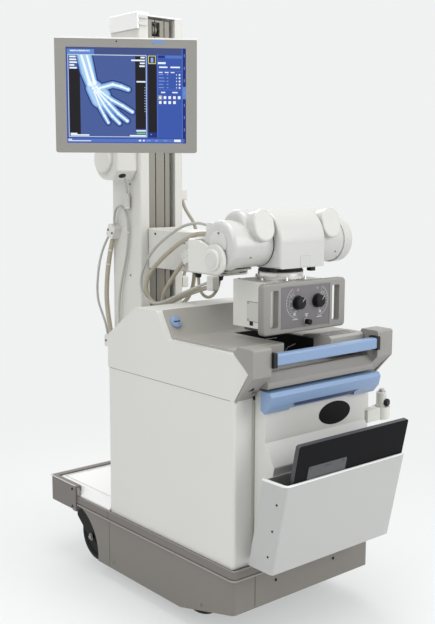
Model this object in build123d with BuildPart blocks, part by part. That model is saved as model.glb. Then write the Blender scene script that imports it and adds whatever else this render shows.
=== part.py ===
"""Mobile x-ray machine: battery drive base, cabinet, turning column, lift with telescopic arm,
tube head with collimator, monitor, and a rear door that carries a cassette bin."""

import os
from math import cos, pi, radians, sin, tan

from build123d import *

os.makedirs("parts", exist_ok=True)

# All lengths are in millimetres. X runs across the machine, +Y from the operator's end
# towards the column, +Z up. The origin is on the floor below the middle of the base.

# Shared clearances
seat = 0.3  # joint line between two pieces of one body that touch
air = 5.5  # gap between bodies that move past each other
bearing = 0.05  # radial gap of a pin in its bore

# Base
strip_half_w = 320
strip_out = 8  # how far the strip stands out from the skirt
skirt_half_w = strip_half_w - strip_out
base_rear = -547
skirt_rear = base_rear + 6
base_front = 548
skirt_wall = 4
skirt_low = 51
skirt_rear_low = 122
slope_start = -269  # where the skirt's lower edge starts to rise towards the rear
strip_low = 230
strip_high = 267
arch_y = 389
arch_z = 68
arch_r = 165
bumper_start = 355
bumper_half_w = strip_half_w + 6
bumper_thick = 26
bumper_low = 213
bumper_high = 306
bumper_end_thick = 28
deck_top = 262
deck_thick = 6
platform_high = 300
platform_half_w = skirt_half_w - 24
platform_wall = 4
rail_x = 44
rail_w = 34
rail_h = 54

# Wheels
drive_r = 127
drive_w = 50
drive_x = 215
drive_y = -255
caster_r = 102
caster_w = 38
caster_x = 235
caster_y = 392
caster_trail = 60
fork_gap = 6
fork_leg = 9
crown_low = 209.5
crown_high = 226
crown_front = 52
crown_rear = 56
axle_r = 8

# Cabinet
cab_half_w = skirt_half_w - 2
cab_rear = -533
cab_front = 146
panel = 4
seam_z = 801
hump_z = 1032
hump_front = -23
hump_rear = -144
front_top_z = 919
deck_rear_y = -197
deck_z = 945
deck_rear_end = -493
nose_y = -596
nose_z = 896
opening_half_w = cab_half_w - 24
deck_proud = 4
well_left = -65
well_right = 75
well_front = -246
well_floor = 886
console_left = 78
console_right = 235

# Rear handle
bracket_in = cab_half_w - 70
bracket_out = cab_half_w + 4
bracket_top = 971
bracket_face = -621
bracket_chamfer_z = 885
bar_y = -615
bar_z = 932
bar_d = 30
bar_h = 36
socket_len = 14
ledge_top = 886
ledge_low = 840
rod_y = -574
rod_z = 905
rod_r = 6

# Door and bin
door_half_w = 228
door_face = -583
door_top = 830
door_low = 285
door_back = -538
kink_high = 668
kink_low = 600
kink_y = -625
door_low_y = -560
hinge_y = -545
hinge_z = 292
hinge_r = 5
hinge_x = 198
knuckle_w = 20
pull_half_w = 248
pull_low = 765
pull_high = 834
bin_half_w = 270
bin_top = 572
bin_low = 283
bin_depth = 105
bin_wall = 4
detector_w = 500
detector_h = 415
detector_t = 16

# Hand switch in its holder, beside the door on the right
holder_x = cab_half_w + 35
holder_y = cab_rear - 23
holder_low = 648
holder_h = 42
cup_r = 30
switch_r = 18
switch_top = 741

# Column, which turns about a vertical axis
col_y = 327
col_half_w = 100
col_half_d = 91
col_low = 317
col_top = 2040
col_wall = 5
bearing_r = 118
channel_left = -59
channel_right = 63
rail_right = 41
rail_recess = 6
channel_depth = 66
pocket_x = -8  # hollow behind the rail's front wall
pocket_w = 80
pulley_x = -20
pulley_z = 1998
pulley_r = 24
pulley_w = 18
pulley_back = 30
pulley_pin_r = 6
groove_w = 6
hub_r = 75
hub_z = 1530
hub_x = -190
boss_r = 50
boss_x = -208
plug_x = -112
plug_y = 300
plug_low = 1352
plug_h = 56
plug_r = 11
hub_front = 75
top_box_left = -108.5
top_box_low = 1994
top_box_high = 2052
top_box_len = 176

# Lift carriage and telescopic arm
pivot_y = -403  # the tilt axis of the head runs along X
pivot_z = 1218
arm_z = pivot_z - 13
arm_half_h = 71
arm_half_w = 65
arm_wall = 5
arm_rear = 206
arm_front = -173
carriage_rear = 230.5
mid_front = -178
mid_rear = 195
inner_rear = 185
yoke_back = -216
lift_travel = 700
stage_travel = 200

# Yoke and tube head
pivot_r = 20
yoke_left = -285
yoke_plate = 12
yoke_low = pivot_z - 42
yoke_high = pivot_z + 57
yoke_end_r = 48
tube_y = pivot_y - 3
tube_z = pivot_z + 44
drum_r = 73
cap_r = 77
tube_half_len = 267
cap_len = 46
upper_r = 62
upper_y = tube_y + 8
upper_z = tube_z + 46
upper_end = 198
centre_half_w = 100
centre_r = 107
centre_front = tube_y - 103
centre_low = tube_z - 76
horn_x = 150
horn_w = 84
horn_h = 100
horn_face = tube_y - 83
horn_z = tube_z + 62
horn_tilt = 12

# Collimator, which turns about the vertical beam axis
box_half_w = 120
box_front = tube_y - 94
box_rear = tube_y + 100
box_low = centre_low - 196
box_high = centre_low - 45
face_half_w = 185
face_front = box_front - 24
face_low = box_low - 6
grip_x = 138
grip_w = 34
grip_h = 118
flange_r = 74
port_h = 18  # ring below the head that the collimator turns on

# Monitor: its face looks 34.6 degrees to the left of the operator's end
monitor_x = -388
monitor_y = -98
monitor_z = 1723
monitor_turn = 34.6
monitor_w = 446
monitor_h = 355
monitor_edge = 34
bezel_side = 35
bezel_top = 30
monitor_depth = 62
screen_recess = 4
swivel_back = 112  # from the screen's face back to the swivel axis
link_w = 40
link_h = 52


# Chassis: deck plate, two rails below it, the column's bearing and the hinge supports
with BuildPart() as chassis_frame:
    with BuildSketch(Plane.XY.offset(deck_top - deck_thick)):
        deck_half_w = skirt_half_w - skirt_wall - seat
        deck_rear = skirt_rear + skirt_wall + seat
        deck_front = base_front - bumper_end_thick - seat
        with Locations((0, (deck_rear + bumper_start) / 2)):
            Rectangle(2 * deck_half_w, bumper_start - deck_rear)
        with Locations((0, (bumper_start + deck_front) / 2)):
            Rectangle(2 * (bumper_half_w - bumper_thick - seat), deck_front - bumper_start)
    extrude(amount=deck_thick)
    with BuildSketch(Plane.XY.offset(deck_top - deck_thick)):
        with Locations(*[(side * rail_x, 0) for side in (-1, 1)]):
            Rectangle(rail_w, 2 * deck_front)
    extrude(amount=-rail_h)
    with BuildSketch(Plane.XY.offset(deck_top)):
        with Locations((0, col_y)):
            Circle(bearing_r)
    extrude(amount=col_low - 12 - seat - deck_top)
    fillet(chassis_frame.edges().filter_by(GeomType.CIRCLE).group_by(Axis.Z)[-1], 3)
chassis_frame.part.label = "chassis_frame"
export_step(chassis_frame.part, "parts/chassis_frame.step")

# Skirt: side and rear walls, cut by the caster arch and by the rising rear edge
with BuildPart() as skirt:
    with BuildSketch(Plane.XY.offset(skirt_low)):
        with Locations((0, (skirt_rear + bumper_start) / 2)):
            Rectangle(2 * skirt_half_w, bumper_start - skirt_rear)
    extrude(amount=strip_low - skirt_low)
    rear_corners = skirt.edges().filter_by(Axis.Z).group_by(Axis.Y)[0]
    fillet(rear_corners, 14)
    with BuildSketch(Plane.XY.offset(skirt_low)):
        with Locations((0, (skirt_rear + skirt_wall + bumper_start + 10) / 2)):
            RectangleRounded(
                2 * (skirt_half_w - skirt_wall), bumper_start + 10 - skirt_rear - skirt_wall, 10
            )
    extrude(amount=strip_low - skirt_low, mode=Mode.SUBTRACT)
    with BuildSketch(Plane.YZ.offset(-skirt_half_w - 1)):
        with Locations((arch_y, arch_z)):
            Circle(arch_r)
        Polygon(
            (slope_start, skirt_low),
            (base_rear - 1, skirt_rear_low),
            (base_rear - 1, skirt_low),
            align=None,
        )
        Polygon(
            (bumper_start - 22, strip_low - 40),
            (bumper_start + 12, strip_low - 40),
            (bumper_start + 12, strip_low + 2),
            (bumper_start + 2, strip_low + 2),
            align=None,
        )
    extrude(amount=2 * skirt_half_w + 2, mode=Mode.SUBTRACT)
skirt.part.label = "skirt"
export_step(skirt.part, "parts/skirt.step")

# Bumper strip round the sides and the rear, with a bead along its lower edge
with BuildPart() as bumper_strip:
    strip_len = bumper_start - seat - base_rear
    with BuildSketch(Plane.XY.offset(strip_low)):
        with Locations((0, base_rear + strip_len / 2)):
            Rectangle(2 * strip_half_w, strip_len)
    extrude(amount=strip_high - strip_low)
    fillet(bumper_strip.edges().filter_by(Axis.Z).group_by(Axis.Y)[0], 20)
    with BuildSketch(Plane.XY.offset(strip_low + 8)):
        with Locations((0, base_rear + strip_len / 2)):
            Rectangle(2 * strip_half_w, strip_len)
        with Locations((0, base_rear + 3 + strip_len / 2)):
            RectangleRounded(2 * strip_half_w - 5, strip_len + 1, 17, mode=Mode.SUBTRACT)
    extrude(amount=3, mode=Mode.SUBTRACT)
    with BuildSketch(Plane.XY.offset(strip_low)):
        inner_rear_y = skirt_rear + skirt_wall
        with Locations((0, (inner_rear_y + bumper_start) / 2)):
            Rectangle(2 * (skirt_half_w - skirt_wall), bumper_start - inner_rear_y)
    extrude(amount=strip_high - strip_low, mode=Mode.SUBTRACT)
bumper_strip.part.label = "bumper_strip"
export_step(bumper_strip.part, "parts/bumper_strip.step")

# Front bumper: a U round the front end, with deep corner pads
with BuildPart() as front_bumper:
    bumper_mid = (bumper_start + base_front) / 2
    bumper_len = base_front - bumper_start
    with BuildSketch(Plane.XY.offset(bumper_low)):
        with Locations((0, bumper_mid)):
            Rectangle(2 * bumper_half_w, bumper_len)
    extrude(amount=bumper_high - bumper_low)
    fillet(front_bumper.edges().filter_by(Axis.Z).group_by(Axis.Y)[-1], 30)
    fillet(front_bumper.faces().sort_by(Axis.Z)[-1].edges(), 5)
    with BuildSketch(Plane.XY.offset(bumper_low)):
        with Locations((0, bumper_mid - bumper_end_thick)):
            Rectangle(2 * (bumper_half_w - bumper_thick), bumper_len)
    extrude(amount=bumper_high - bumper_low, mode=Mode.SUBTRACT)
front_bumper.part.label = "front_bumper"
export_step(front_bumper.part, "parts/front_bumper.step")

# Platform cover ahead of the cabinet: a bevelled tray, open below, with the column's hole
with BuildPart() as platform:
    edge_z = strip_high + seat
    with BuildSketch(Plane.XZ.offset(-cab_front - seat)):
        Polygon(
            (-skirt_half_w, edge_z),
            (-skirt_half_w, edge_z + 5),
            (-platform_half_w, platform_high),
            (platform_half_w, platform_high),
            (skirt_half_w, edge_z + 5),
            (skirt_half_w, edge_z),
            align=None,
        )
    extrude(amount=-(deck_front - cab_front - seat))
    with BuildSketch(Plane.XZ.offset(-cab_front - seat)):
        Polygon(
            (-skirt_half_w + platform_wall, edge_z),
            (-platform_half_w + platform_wall, platform_high - platform_wall),
            (platform_half_w - platform_wall, platform_high - platform_wall),
            (skirt_half_w - platform_wall, edge_z),
            align=None,
        )
    extrude(amount=-(deck_front - cab_front - seat - platform_wall), mode=Mode.SUBTRACT)
    with BuildSketch(Plane.XY.offset(edge_z)):
        with Locations(*[(side * (bumper_half_w - bumper_thick - seat + 20),
                          (bumper_start + deck_front) / 2) for side in (-1, 1)]):
            Rectangle(40, deck_front - bumper_start + 2 * seat)
        with Locations((0, col_y)):
            Circle(bearing_r + 6)
    extrude(amount=platform_high, mode=Mode.SUBTRACT)
platform.part.label = "platform"
export_step(platform.part, "parts/platform.step")

# Drive unit: cross beam under the rails, two gear motors and the wheels' stub shafts
with BuildPart() as drive_unit:
    beam_top = deck_top - deck_thick - rail_h - seat
    with BuildSketch(Plane.XY.offset(beam_top)):
        with Locations((0, drive_y)):
            Rectangle(250, 90)
    extrude(amount=-50)
    fillet(drive_unit.edges().filter_by(Axis.Z), 10)
    for side in (-1, 1):
        with BuildSketch(Plane.YZ.offset(side * 88)):
            with Locations((drive_y, drive_r)):
                Circle(62)
        extrude(amount=side * 90)
        with BuildSketch(Plane.YZ):
            with Locations((drive_y, drive_r)):
                Circle(44)
        extrude(amount=side * 90)
        with BuildSketch(Plane.YZ.offset(side * 170)):
            with Locations((drive_y, drive_r)):
                Circle(14)
        extrude(amount=side * (drive_x + drive_w / 2 - 170))
drive_unit.part.label = "drive_unit"
export_step(drive_unit.part, "parts/drive_unit.step")


def wheel(axis_x, axis_y, radius, width, bore_r, rim_depth):
    """A wheel with a dished disc each side, a hub and a round tyre edge."""
    with BuildPart() as body:
        with BuildSketch(Plane.XY):
            with BuildLine():
                half = width / 2
                web = half - rim_depth
                tread = radius - 14
                Polyline(
                    (bore_r, -half),
                    (bore_r + 14, -half),
                    (bore_r + 17, -web),
                    (tread - 14, -web),
                    (tread - 9, -half),
                    (tread, -half),
                )
                ThreePointArc((tread, -half), (radius, 0), (tread, half))
                Polyline(
                    (tread, half),
                    (tread - 9, half),
                    (tread - 14, web),
                    (bore_r + 17, web),
                    (bore_r + 14, half),
                    (bore_r, half),
                    (bore_r, -half),
                )
            make_face()
        revolve(axis=Axis.Y)
    turned = body.part.rotate(Axis.Z, 90)
    return turned.moved(Location((axis_x, axis_y, radius)))


# Drive wheels, which run on the stub shafts
for tag, side in (("left", -1), ("right", 1)):
    drive_wheel = wheel(side * drive_x, drive_y, drive_r, drive_w, 14 + bearing, 12)
    drive_wheel.label = f"drive_wheel_{tag}"
    export_step(drive_wheel, f"parts/drive_wheel_{tag}.step")

# Casters: a forked yoke on a short stem, with its wheel behind the stem's axis
for tag, side in (("left", -1), ("right", 1)):
    fork_x = side * caster_x
    axle_y = caster_y - caster_trail
    leg_in = caster_w / 2 + fork_gap
    with BuildPart() as caster_fork:
        with BuildSketch(Plane.XY.offset(crown_high)):
            with Locations((fork_x, caster_y)):
                Circle(34)
        extrude(amount=deck_top - deck_thick - seat - crown_high)
        with BuildSketch(Plane.XY.offset(crown_low)):
            with Locations((fork_x, caster_y + (crown_front - crown_rear) / 2)):
                RectangleRounded(2 * (leg_in + fork_leg), crown_front + crown_rear, 16)
        extrude(amount=crown_high - crown_low)
        for leg in (-1, 1):
            with BuildSketch(Plane.YZ.offset(fork_x + leg * leg_in)):
                with BuildLine():
                    Polyline(
                        (axle_y + 20, caster_r - 12),
                        (caster_y + crown_front - 8, 158),
                        (caster_y + crown_front - 4, crown_low),
                        (axle_y + 10, crown_low),
                        (axle_y - 20, caster_r + 12),
                    )
                    ThreePointArc(
                        (axle_y - 20, caster_r + 12),
                        (axle_y - 8, caster_r - 22),
                        (axle_y + 20, caster_r - 12),
                    )
                make_face()
            extrude(amount=leg * fork_leg)
        with BuildSketch(Plane.YZ.offset(fork_x - leg_in - fork_leg - 6)):
            with Locations((axle_y, caster_r)):
                Circle(axle_r)
        extrude(amount=2 * (leg_in + fork_leg + 6))
    caster_fork.part.label = f"caster_fork_{tag}"
    export_step(caster_fork.part, f"parts/caster_fork_{tag}.step")
    caster_wheel = wheel(fork_x, axle_y, caster_r, caster_w, axle_r + bearing, 8)
    caster_wheel.label = f"caster_wheel_{tag}"
    export_step(caster_wheel, f"parts/caster_wheel_{tag}.step")

# Side panels: a wall and a narrow return that frames the door
for tag, side in (("left", -1), ("right", 1)):
    with BuildPart() as side_panel:
        return_in = door_half_w + 4
        with BuildSketch(Plane.XY.offset(strip_high + seat)):
            with Locations((side * (cab_half_w + return_in) / 2, (cab_rear + cab_front) / 2)):
                Rectangle(cab_half_w - return_in, cab_front - cab_rear)
        extrude(amount=seam_z - strip_high - seat)
        outer = side_panel.edges().filter_by(Axis.Z).group_by(Axis.X)[0 if side < 0 else -1]
        fillet(outer, 12)
        with BuildSketch(Plane.XY.offset(strip_high + seat)):
            with Locations((side * (cab_half_w - panel + return_in - 20) / 2,
                            (cab_rear + panel + cab_front) / 2)):
                Rectangle(cab_half_w - panel - return_in + 20, cab_front - cab_rear - panel)
        extrude(amount=seam_z - strip_high - seat, mode=Mode.SUBTRACT)
    side_panel.part.label = f"side_panel_{tag}"
    export_step(side_panel.part, f"parts/side_panel_{tag}.step")

# Front panel of the cabinet, facing the column, with three ribs
with BuildPart() as front_panel:
    with BuildSketch(Plane.XY.offset(strip_high + seat)):
        with Locations((0, cab_front - 10 - panel / 2)):
            Rectangle(2 * (cab_half_w - panel - seat), panel)
    extrude(amount=seam_z - strip_high - seat)
    with BuildSketch(Plane.XZ.offset(-cab_front + 10)):
        for rib_x in (-180, 0, 180):
            with Locations((rib_x, (seam_z + strip_high) / 2)):
                SlotCenterToCenter(360, 60, rotation=90)
    extrude(amount=-5)
front_panel.part.label = "front_panel"
export_step(front_panel.part, "parts/front_panel.step")

# Plain block for the batteries and the high voltage generator inside the cabinet
with BuildPart() as power_pack:
    with BuildSketch(Plane.XY.offset(deck_top)):
        with Locations((0, -120)):
            Rectangle(440, 480)
    extrude(amount=330)
    fillet(power_pack.edges().filter_by(Axis.Z), 12)
power_pack.part.label = "power_pack"
export_step(power_pack.part, "parts/power_pack.step")

# Top cover: white hump over the cabinet, open above for the grey deck
cover_profile = (
    (cab_front, seam_z + seat),
    (cab_front - 3, front_top_z),
    (hump_front, hump_z),
    (hump_rear, hump_z),
    (deck_rear_y, deck_z),
    (cab_rear, deck_z),
    (nose_y, nose_z),
    (cab_rear, seam_z + seat),
)
with BuildPart() as top_cover:
    with BuildSketch(Plane.YZ.offset(-cab_half_w)):
        Polygon(*cover_profile, align=None)
    extrude(amount=2 * cab_half_w)
    across = top_cover.edges().filter_by(Axis.X)
    fillet(across.group_by(Axis.Z)[-1], 14)
    with BuildSketch(Plane.YZ.offset(-cab_half_w + panel)):
        Polygon(*cover_profile, align=None)
        offset(amount=-panel, mode=Mode.REPLACE)
    extrude(amount=2 * (cab_half_w - panel), mode=Mode.SUBTRACT)
    with BuildSketch(Plane.XY.offset(seam_z)):
        with Locations((0, (cab_rear + cab_front) / 2)):
            Rectangle(2 * (cab_half_w - panel), cab_front - cab_rear - 2 * panel)
    extrude(amount=20, mode=Mode.SUBTRACT)
    with BuildSketch(Plane.XY.offset(seam_z)):
        with Locations((0, (nose_y - 10 + hump_rear - 1) / 2)):
            Rectangle(2 * opening_half_w, hump_rear - 1 - nose_y + 10)
        with Locations((0, (nose_y - 10 + cab_rear) / 2)):
            Rectangle(2 * (cab_half_w - panel), cab_rear - nose_y + 10)
    extrude(amount=300, mode=Mode.SUBTRACT)
top_cover.part.label = "top_cover"
export_step(top_cover.part, "parts/top_cover.step")

# Grey top panel: slope, flat deck and a lip at its rear end, with the well cut out
with BuildPart() as top_panel:
    deck_high = deck_z + deck_proud
    with BuildSketch(Plane.YZ.offset(-opening_half_w + seat)):
        with BuildLine():
            Polyline(
                (hump_rear - 1 - seat, hump_z + 2),
                (deck_rear_y - 2, deck_high),
                (deck_rear_end, deck_high),
                (deck_rear_end, ledge_top + seat),
                (deck_rear_end + panel, ledge_top + seat),
                (deck_rear_end + panel, deck_high - panel),
                (deck_rear_y - 2 + 3, deck_high - panel),
                (hump_rear - 1 - seat, hump_z - 8),
                (hump_rear - 1 - seat, hump_z + 2),
            )
        make_face()
    extrude(amount=2 * (opening_half_w - seat))
    fillet(top_panel.edges().filter_by(Axis.X).filter_by_position(Axis.Z, deck_high - 1,
           deck_high + 1), 6)
    with BuildSketch(Plane.XY.offset(ledge_top)):
        with Locations(((well_left + well_right) / 2, (deck_rear_end - 5 + well_front) / 2)):
            Rectangle(well_right - well_left, well_front - deck_rear_end + 5)
    extrude(amount=100, mode=Mode.SUBTRACT)
top_panel.part.label = "top_panel"
export_step(top_panel.part, "parts/top_panel.step")

# Dark well in the top panel, open towards the operator
with BuildPart() as well_tray:
    well_mid = ((well_left + well_right) / 2, (deck_rear_end + panel + seat + well_front) / 2)
    well_w = well_right - well_left - 2 * seat
    well_len = well_front - deck_rear_end - panel - 2 * seat
    with BuildSketch(Plane.XY.offset(well_floor)):
        with Locations(well_mid):
            Rectangle(well_w, well_len)
    extrude(amount=deck_high - 2 - well_floor)
    with BuildSketch(Plane.XY.offset(well_floor + 3)):
        with Locations((well_mid[0], well_mid[1] - 5)):
            Rectangle(well_w - 8, well_len)
    extrude(amount=100, mode=Mode.SUBTRACT)
well_tray.part.label = "well_tray"
export_step(well_tray.part, "parts/well_tray.step")

# Operator's console, a raised block on the top panel's right half
with BuildPart() as console:
    console_base = deck_high + seat
    with BuildSketch(Plane.YZ.offset(console_left)):
        Polygon(
            (deck_rear_end - 70, console_base - 44),
            (deck_rear_end - 70, console_base + 6),
            (deck_rear_end - 61, console_base + 13),
            (deck_rear_end, console_base + 13),
            (deck_rear_end + 45, console_base + 7),
            (deck_rear_end + 63, console_base),
            (deck_rear_end - seat, console_base),
            (deck_rear_end - seat, console_base - 44),
            align=None,
        )
    extrude(amount=console_right - console_left)
    upper_edges = console.edges().filter_by(Axis.X).filter_by_position(
        Axis.Z, console_base + 5, console_base + 14
    )
    fillet(upper_edges, 2.5)
    chamfer(console.faces().sort_by(Axis.X)[0].edges().filter_by(Axis.Y), 2)
console.part.label = "console"
export_step(console.part, "parts/console.step")

# Cross member between the handle brackets, with a sloping lower face
with BuildPart() as cross_member:
    with BuildSketch(Plane.YZ.offset(-bracket_in + seat)):
        Polygon(
            (deck_rear_end, ledge_low),
            (deck_rear_end, ledge_top),
            (bracket_face + 43, ledge_top),
            (bracket_face + 15, ledge_top - 26),
            (bracket_face + 15, ledge_low),
            align=None,
        )
    extrude(amount=2 * (bracket_in - seat))
    fillet(cross_member.edges().filter_by(Axis.X).group_by(Axis.Y)[0], 4)
cross_member.part.label = "cross_member"
export_step(cross_member.part, "parts/cross_member.step")

# Handle brackets at the rear corners; each wraps the cover's pointed cheek
with BuildPart() as handle_brackets:
    for side in (-1, 1):
        inner_x = side * bracket_in
        cheek_x = side * (cab_half_w - panel - seat)
        with BuildSketch(Plane.YZ.offset(inner_x)):
            Polygon(
                (cab_rear - seat, deck_z),
                (cab_rear - 18, bracket_top),
                (bracket_face, bracket_top),
                (bracket_face, bracket_chamfer_z),
                (cab_rear - seat, seam_z),
                align=None,
            )
        extrude(amount=cheek_x - inner_x)
        with BuildSketch(Plane.YZ.offset(cheek_x)):
            Polygon(
                (cab_rear - seat, deck_z + 4),
                (cab_rear - 18, bracket_top),
                (bracket_face, bracket_top),
                (bracket_face, bracket_chamfer_z),
                (cab_rear - 7, seam_z - 3),
                (nose_y - 4, nose_z),
                (cab_rear - 6, deck_z + 2),
                align=None,
            )
        extrude(amount=side * bracket_out - cheek_x)
    rear_edges = handle_brackets.edges().filter_by(Axis.X).group_by(Axis.Y)[0]
    fillet(rear_edges.group_by(Axis.Z)[-1], 8)
handle_brackets.part.label = "handle_brackets"
export_step(handle_brackets.part, "parts/handle_brackets.step")

# Upper handle: a blue bar held in black sockets
with BuildPart() as upper_handle:
    bar_half = bracket_in - seat - socket_len
    with BuildSketch(Plane.YZ.offset(-bar_half)):
        with Locations((bar_y, bar_z)):
            RectangleRounded(bar_d, bar_h, 6)
    extrude(amount=2 * bar_half)
upper_handle.part.label = "upper_handle"
export_step(upper_handle.part, "parts/upper_handle.step")

# Black fittings of the handle: the bar's two sockets and the rod below the bar
with BuildPart() as handle_fittings:
    for side in (-1, 1):
        with BuildSketch(Plane.YZ.offset(side * (bracket_in - seat))):
            with Locations((bar_y + 2, bar_z)):
                RectangleRounded(bar_d + 8, bar_h + 10, 4)
        extrude(amount=-side * socket_len)
    with BuildSketch(Plane.YZ.offset(-bracket_in + seat)):
        with Locations((rod_y, rod_z)):
            Circle(rod_r)
    extrude(amount=2 * (bracket_in - seat))
handle_fittings.part.label = "handle_fittings"
export_step(handle_fittings.part, "parts/handle_fittings.step")

# Door hinge: a rod in two blocks that stand on the bumper strip
with BuildPart() as door_hinge:
    with BuildSketch(Plane.YZ.offset(-hinge_x - knuckle_w)):
        with Locations((hinge_y, hinge_z)):
            Circle(hinge_r)
    extrude(amount=2 * (hinge_x + knuckle_w))
    for side in (-1, 1):
        with BuildSketch(Plane.YZ.offset(side * (hinge_x - 16))):
            with Locations((hinge_y, hinge_z)):
                Circle(hinge_r + 4)
            Polygon(
                (hinge_y - 6, hinge_z),
                (hinge_y + 14, hinge_z),
                (hinge_y + 14, strip_high + seat),
                (hinge_y, strip_high + seat),
                align=None,
            )
        extrude(amount=-side * 14)
door_hinge.part.label = "door_hinge"
export_step(door_hinge.part, "parts/door_hinge.step")

# Door: a hollow panel that bulges out above the bin, with two hinge knuckles
door_outline = (
    (door_back, door_low),
    (door_low_y, door_low),
    (kink_y, kink_low),
    (door_face, kink_high),
    (door_face, door_top),
    (door_back, door_top),
)
with BuildPart() as door_panel:
    with BuildSketch(Plane.YZ.offset(-door_half_w)):
        Polygon(*door_outline, align=None)
    extrude(amount=2 * door_half_w)
    fillet(door_panel.edges().filter_by(Axis.X).group_by(Axis.Y)[0], 8)
    with BuildSketch(Plane.YZ.offset(-door_half_w + panel)):
        Polygon(
            (door_back, door_low + panel),
            (door_low_y + 3, door_low + panel),
            (kink_y + panel + 1, kink_low),
            (door_face + panel, kink_high + 3),
            (door_face + panel, door_top - panel),
            (door_back, door_top - panel),
            align=None,
        )
    extrude(amount=2 * (door_half_w - panel), mode=Mode.SUBTRACT)
    with BuildSketch(Plane.YZ.offset(-door_half_w)):
        with Locations((hinge_y, hinge_z)):
            Circle(hinge_r + 9)
    extrude(amount=2 * door_half_w, mode=Mode.SUBTRACT)
    for side in (-1, 1):
        with BuildSketch(Plane.YZ.offset(side * (hinge_x - 10))):
            with Locations((hinge_y, hinge_z)):
                Circle(hinge_r + 5)
            Polygon(
                (hinge_y, hinge_z + hinge_r + 5),
                (door_low_y - 1, hinge_z + hinge_r + 5),
                (door_low_y + 1, hinge_z - 5),
                (hinge_y, hinge_z - 10),
                align=None,
            )
        extrude(amount=side * knuckle_w)
    with BuildSketch(Plane.YZ.offset(-door_half_w)):
        with Locations((hinge_y, hinge_z)):
            Circle(hinge_r + bearing)
    extrude(amount=2 * door_half_w, mode=Mode.SUBTRACT)
door_panel.part.label = "door_panel"
export_step(door_panel.part, "parts/door_panel.step")

# Blue pull along the door's top edge, bevelled, with a finger recess below
with BuildPart() as door_pull:
    with BuildSketch(Plane.YZ.offset(-pull_half_w)):
        Polygon(
            (door_face - seat, pull_low + 10),
            (door_face - 18, pull_low),
            (door_face - 40, pull_low + 26),
            (door_face - 48, pull_high - 12),
            (door_face - 40, pull_high),
            (door_face - seat, pull_high),
            align=None,
        )
    extrude(amount=2 * pull_half_w)
    fillet(door_pull.edges().filter_by(Axis.X).group_by(Axis.Y)[0], 3)
    with BuildSketch(Plane.XY.offset(pull_low - 1)):
        with Locations((0, door_face - 24)):
            Trapezoid(300, 22, 60, rotation=180)
    extrude(amount=32, mode=Mode.SUBTRACT)
door_pull.part.label = "door_pull"
export_step(door_pull.part, "parts/door_pull.step")

# Cassette bin: an open box that hangs on the door's leaning lower face
lean = (kink_y - door_low_y) / (kink_low - door_low)


def door_line(z):
    """Y of the door's leaning face at height z."""
    return door_low_y + (z - door_low) * lean


front_lean = -0.204
bin_low_y = door_line(bin_low) - seat - bin_depth
bin_front_top = bin_low_y + (bin_top - bin_low) * front_lean
with BuildPart() as bin_box:
    with BuildSketch(Plane.YZ.offset(-bin_half_w)):
        Polygon(
            (door_line(bin_low) - seat, bin_low),
            (door_line(bin_top) - seat, bin_top),
            (bin_front_top, bin_top),
            (bin_low_y, bin_low),
            align=None,
        )
    extrude(amount=2 * bin_half_w)
    front_face = bin_box.faces().sort_by(Axis.Y)[0]
    fillet(front_face.edges().filter_by(Axis.X, reverse=True), 10)
    with BuildSketch(Plane.YZ.offset(-bin_half_w + bin_wall)):
        Polygon(
            (door_line(bin_low + bin_wall) - seat - bin_wall, bin_low + bin_wall),
            (door_line(bin_top + 10) - seat - bin_wall, bin_top + 10),
            (bin_front_top + 10 * front_lean + bin_wall, bin_top + 10),
            (bin_low_y + bin_wall * front_lean + bin_wall, bin_low + bin_wall),
            align=None,
        )
    extrude(amount=2 * (bin_half_w - bin_wall), mode=Mode.SUBTRACT)
bin_box.part.label = "bin_box"
export_step(bin_box.part, "parts/bin_box.step")

# Flat detector that stands in the bin and leans on its front wall
lean_angle = -11.53
with BuildPart() as detector:
    foot = (15, bin_low_y + bin_wall * 2 + 0.6, bin_low + bin_wall)
    stand = Plane(origin=foot, x_dir=(1, 0, 0), z_dir=(0, 1, 0))
    with BuildSketch(stand):
        with Locations((0, 0)):
            RectangleRounded(detector_w, detector_h, 8, align=(Align.CENTER, Align.MAX))
    extrude(amount=detector_t)
    chamfer(detector.faces().sort_by(Axis.Y)[0].edges(), 1.5)
leaned = detector.part.rotate(Axis(origin=foot, direction=(1, 0, 0)), -lean_angle)
leaned.label = "detector"
export_step(leaned, "parts/detector.step")

# Holder on the right panel's return, with the hand switch standing in its cup
with BuildPart() as switch_holder:
    plate_right = cab_half_w - 14
    plate_w = 52
    with BuildSketch(Plane.XZ.offset(-cab_rear + seat)):
        with Locations((plate_right - plate_w / 2, holder_low + holder_h)):
            RectangleRounded(plate_w, 100, 8)
    extrude(amount=6)
    with BuildSketch(Plane.XY.offset(holder_low)):
        with Locations(((plate_right - plate_w + 12 + holder_x) / 2, holder_y)):
            Rectangle(holder_x - plate_right + plate_w - 12, 2 * cup_r - 26)
        with Locations((holder_x, holder_y)):
            Circle(cup_r)
    extrude(amount=holder_h)
    with BuildSketch(Plane.XY.offset(holder_low + panel)):
        with Locations((holder_x, holder_y)):
            Circle(switch_r + 4)
    extrude(amount=holder_h, mode=Mode.SUBTRACT)
    with BuildSketch(Plane.XY.offset(holder_low + panel + seat)):
        with Locations((holder_x, holder_y)):
            Circle(switch_r)
    extrude(amount=switch_top - holder_low - panel - seat)
    fillet(switch_holder.faces().sort_by(Axis.Z)[-1].edges(), 5)
    with BuildSketch(Plane.XY.offset(switch_top)):
        with Locations((holder_x, holder_y)):
            Circle(9)
    extrude(amount=9)
    knob_plane = Plane(origin=(holder_x, holder_y, switch_top - 36), z_dir=(0.5, -1, 0))
    with BuildSketch(knob_plane.offset(switch_r - 3)):
        Circle(10)
    extrude(amount=11)
switch_holder.part.label = "switch_holder"
export_step(switch_holder.part, "parts/switch_holder.step")

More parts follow.
